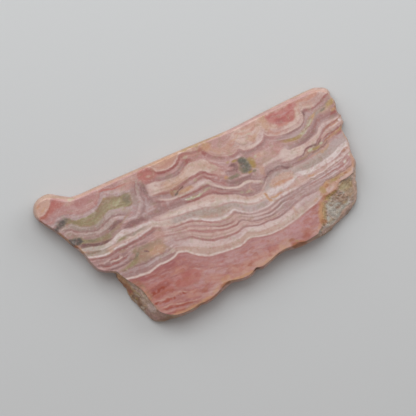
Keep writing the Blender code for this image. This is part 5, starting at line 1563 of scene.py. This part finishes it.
class Graph:
    """A material's nodes, with one short call for each."""

    def __init__(self, name):
        self.material = bpy.data.materials.new(name)
        self.material.use_nodes = True
        self.nodes = self.material.node_tree.nodes
        self.links = self.material.node_tree.links
        self.shader = self.nodes["Principled BSDF"]

    def add(self, kind, values, output=0, **settings):
        """A node with its inputs set or linked. It returns one output."""
        node = self.nodes.new(kind)
        for key, value in settings.items():
            setattr(node, key, value)
        for key, value in values.items():
            self.join(node.inputs[key], value)
        return node.outputs[output]

    def join(self, socket, value):
        if isinstance(value, bpy.types.NodeSocket):
            self.links.new(value, socket)
        else:
            socket.default_value = value

    def value(self, name):
        return self.add("ShaderNodeAttribute", {}, output="Fac", attribute_name=name)

    def colour(self, name):
        return self.add("ShaderNodeAttribute", {}, output="Color", attribute_name=name)

    def sum(self, a, b, operation="ADD"):
        return self.add("ShaderNodeMath", {0: a, 1: b}, operation=operation)

    def product(self, a, b):
        return self.sum(a, b, "MULTIPLY")

    def ranged(self, value, low, high, from_low=0.0, from_high=1.0):
        places = {"Value": value, "From Min": from_low, "From Max": from_high, "To Min": low, "To Max": high}
        return self.add("ShaderNodeMapRange", places)

    def noise(self, vector, scale, detail, roughness):
        values = {"Vector": vector, "Scale": scale, "Detail": detail, "Roughness": roughness}
        return self.add("ShaderNodeTexNoise", values)

    def scaled(self, colour, factor):
        """A colour times a plain number."""
        grey = self.add("ShaderNodeCombineColor", {"Red": factor, "Green": factor, "Blue": factor})
        values = {"Factor": 1.0, 6: colour, 7: grey}
        return self.add("ShaderNodeMix", values, output=2, data_type="RGBA", blend_type="MULTIPLY")

    def place(self):
        """The place on the stone in millimetres."""
        place = self.add("ShaderNodeTexCoord", {}, output="Object")
        values = {0: place, "Scale": 1 / MILLIMETRE}
        return self.add("ShaderNodeVectorMath", values, operation="SCALE")

    def bumped(self, height, strength, distance):
        values = {"Height": height, "Strength": strength, "Distance": distance * MILLIMETRE}
        normal = self.add("ShaderNodeBump", values)
        self.links.new(normal, self.shader.inputs["Normal"])


def banded_colour(graph, lamina_strength, grain_strength):
    """The painted colour with thin laminae along the bands, fibres across them and a fine grain."""
    place = graph.place()
    x = graph.add("ShaderNodeSeparateXYZ", {"Vector": place}, output="X")
    layer = graph.value("layer")
    along = graph.add("ShaderNodeCombineXYZ", {
        "X": graph.product(x, 0.16), "Y": graph.product(layer, 3.2), "Z": 2.0
    })
    across = graph.add("ShaderNodeCombineXYZ", {
        "X": graph.product(x, 3.4), "Y": graph.product(layer, 0.7), "Z": 7.0
    })
    laminae = graph.noise(along, scale=1.0, detail=3.0, roughness=0.65)
    fibres = graph.noise(across, scale=1.0, detail=2.0, roughness=0.6)
    grain = graph.noise(place, scale=3.2, detail=3.0, roughness=0.7)
    factor = graph.ranged(laminae, 1 - lamina_strength, 1 + lamina_strength, 0.2, 0.8)
    fibre = graph.ranged(fibres, 1 - 0.5 * grain_strength, 1 + 0.5 * grain_strength, 0.2, 0.8)
    speck = graph.ranged(grain, 1 - grain_strength, 1 + grain_strength, 0.2, 0.8)
    factor = graph.product(factor, graph.product(fibre, speck))
    return graph.scaled(graph.colour("stone_colour"), factor), laminae, grain


def polished_stone():
    """The polished face: a smooth shine over the painted bands."""
    graph = Graph("polished_banding")
    colour, laminae, grain = banded_colour(graph, lamina_strength=0.055, grain_strength=0.075)
    graph.join(graph.shader.inputs["Base Color"], colour)
    roughness = graph.ranged(grain, 0.24, 0.40, from_low=0.25, from_high=0.75)
    graph.join(graph.shader.inputs["Roughness"], roughness)
    graph.shader.inputs["IOR"].default_value = 1.6
    graph.bumped(graph.sum(graph.product(laminae, 0.5), grain), strength=0.05, distance=0.03)
    return graph.material


def broken_stone():
    """The walls: rough pitted rock with painted shade in the hollows of its relief and painted light on its
    tops, or the dull ground edge.
    """
    graph = Graph("wall_stone")
    colour, laminae, grain = banded_colour(graph, lamina_strength=0.07, grain_strength=0.12)
    place = graph.place()
    grainy = graph.value("rock")
    ground = graph.value("ground")
    fine = graph.noise(place, scale=2.4, detail=5.0, roughness=0.75)
    pits = graph.add("ShaderNodeTexVoronoi", {"Vector": place, "Scale": 1.5, "Randomness": 1.0})
    # Painted shade and light: the colour follows the relief's height, darker in its hollows and lighter on
    # its tops.
    shade = graph.ranged(fine, 0.66, 1.34, from_low=0.3, from_high=0.7)
    shade = graph.add("ShaderNodeMix", {0: grainy, 2: 1.0, 3: shade})
    graph.join(graph.shader.inputs["Base Color"], graph.scaled(colour, shade))
    dull = graph.ranged(grain, 0.6, 0.85, from_low=0.25, from_high=0.75)
    roughness = graph.add("ShaderNodeMix", {0: ground, 2: dull, 3: 0.5})
    graph.join(graph.shader.inputs["Roughness"], roughness)
    graph.shader.inputs["IOR"].default_value = 1.55
    height = graph.sum(fine, graph.product(pits, 0.5))
    depth = graph.ranged(ground, 0.55, 0.08)
    graph.bumped(height, strength=depth, distance=0.25)
    return graph.material


def sawn_stone():
    """The rest face: dull, with faint saw marks."""
    graph = Graph("sawn_underside")
    colour, laminae, grain = banded_colour(graph, lamina_strength=0.05, grain_strength=0.06)
    graph.join(graph.shader.inputs["Base Color"], graph.scaled(colour, 0.94))
    wave = graph.add("ShaderNodeTexWave", {"Vector": graph.place(), "Scale": 0.5, "Distortion": 1.5},
                     output="Fac", bands_direction="DIAGONAL")
    graph.join(graph.shader.inputs["Roughness"], graph.ranged(wave, 0.55, 0.7))
    graph.shader.inputs["IOR"].default_value = 1.55
    graph.bumped(graph.sum(graph.product(wave, 0.4), grain), strength=0.12, distance=0.05)
    return graph.material


def build_floor():
    """The plain pale floor."""
    mesh = bpy.data.meshes.new("floor")
    half = FLOOR_SIZE / 2
    corners = [(-half, -half), (half, -half), (half, half), (-half, half)]
    mesh.from_pydata([(x, y, -FLOOR_GAP) for x, y in corners], [], [(0, 1, 2, 3)])
    graph = Graph("pale_floor")
    graph.shader.inputs["Base Color"].default_value = (*FLOOR_COLOUR, 1.0)
    graph.shader.inputs["Roughness"].default_value = 0.9
    graph.shader.inputs["Specular IOR Level"].default_value = 0.1
    mesh.materials.append(graph.material)
    floor = bpy.data.objects.new("floor", mesh)
    bpy.context.scene.collection.objects.link(floor)
    return floor


def build_light():
    """Soft windows round the picture's top right, over an even pale sky."""
    world = bpy.data.worlds.new("soft_sky")
    bpy.context.scene.world = world
    world.use_nodes = True
    background = world.node_tree.nodes["Background"]
    background.inputs["Color"].default_value = (*SKY_COLOUR, 1.0)
    background.inputs["Strength"].default_value = SKY_STRENGTH
    for bearing, height, power in WINDOWS:
        light = bpy.data.lights.new("window", "AREA")
        light.shape = "RECTANGLE"
        light.size, light.size_y = WINDOW_SIZE
        light.energy = power
        light.color = WINDOW_COLOUR
        window = bpy.data.objects.new("window", light)
        window.visible_camera = False
        flat = math.cos(math.radians(height))
        turn = math.radians(bearing)
        way = Vector((flat * math.cos(turn), flat * math.sin(turn), math.sin(math.radians(height))))
        window.location = WINDOW_DISTANCE * way
        window.rotation_euler = way.to_track_quat("Z", "Y").to_euler()
        bpy.context.scene.collection.objects.link(window)


def build_camera():
    """The camera looks straight down, turned as the photographer stood."""
    data = bpy.data.cameras.new("camera")
    data.sensor_width = SENSOR_WIDTH
    data.lens = SENSOR_WIDTH * CAMERA_DISTANCE / FRAME_WIDTH
    data.clip_end = 20.0
    camera = bpy.data.objects.new("camera", data)
    x = VIEW_CENTRE[0] - MIDDLE_U
    y = MIDDLE_V - VIEW_CENTRE[1]
    camera.location = Vector((x, y, THICKNESS + CAMERA_DISTANCE)) * MILLIMETRE
    camera.rotation_euler = (0.0, 0.0, math.radians(CAMERA_TURN))
    bpy.context.scene.collection.objects.link(camera)
    bpy.context.scene.camera = camera


stone = build_stone("banded_slice")
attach(stone, "root")
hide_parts(NODE_NAME)
build_floor()
build_light()
build_camera()
bpy.context.scene.view_settings.view_transform = "Standard"
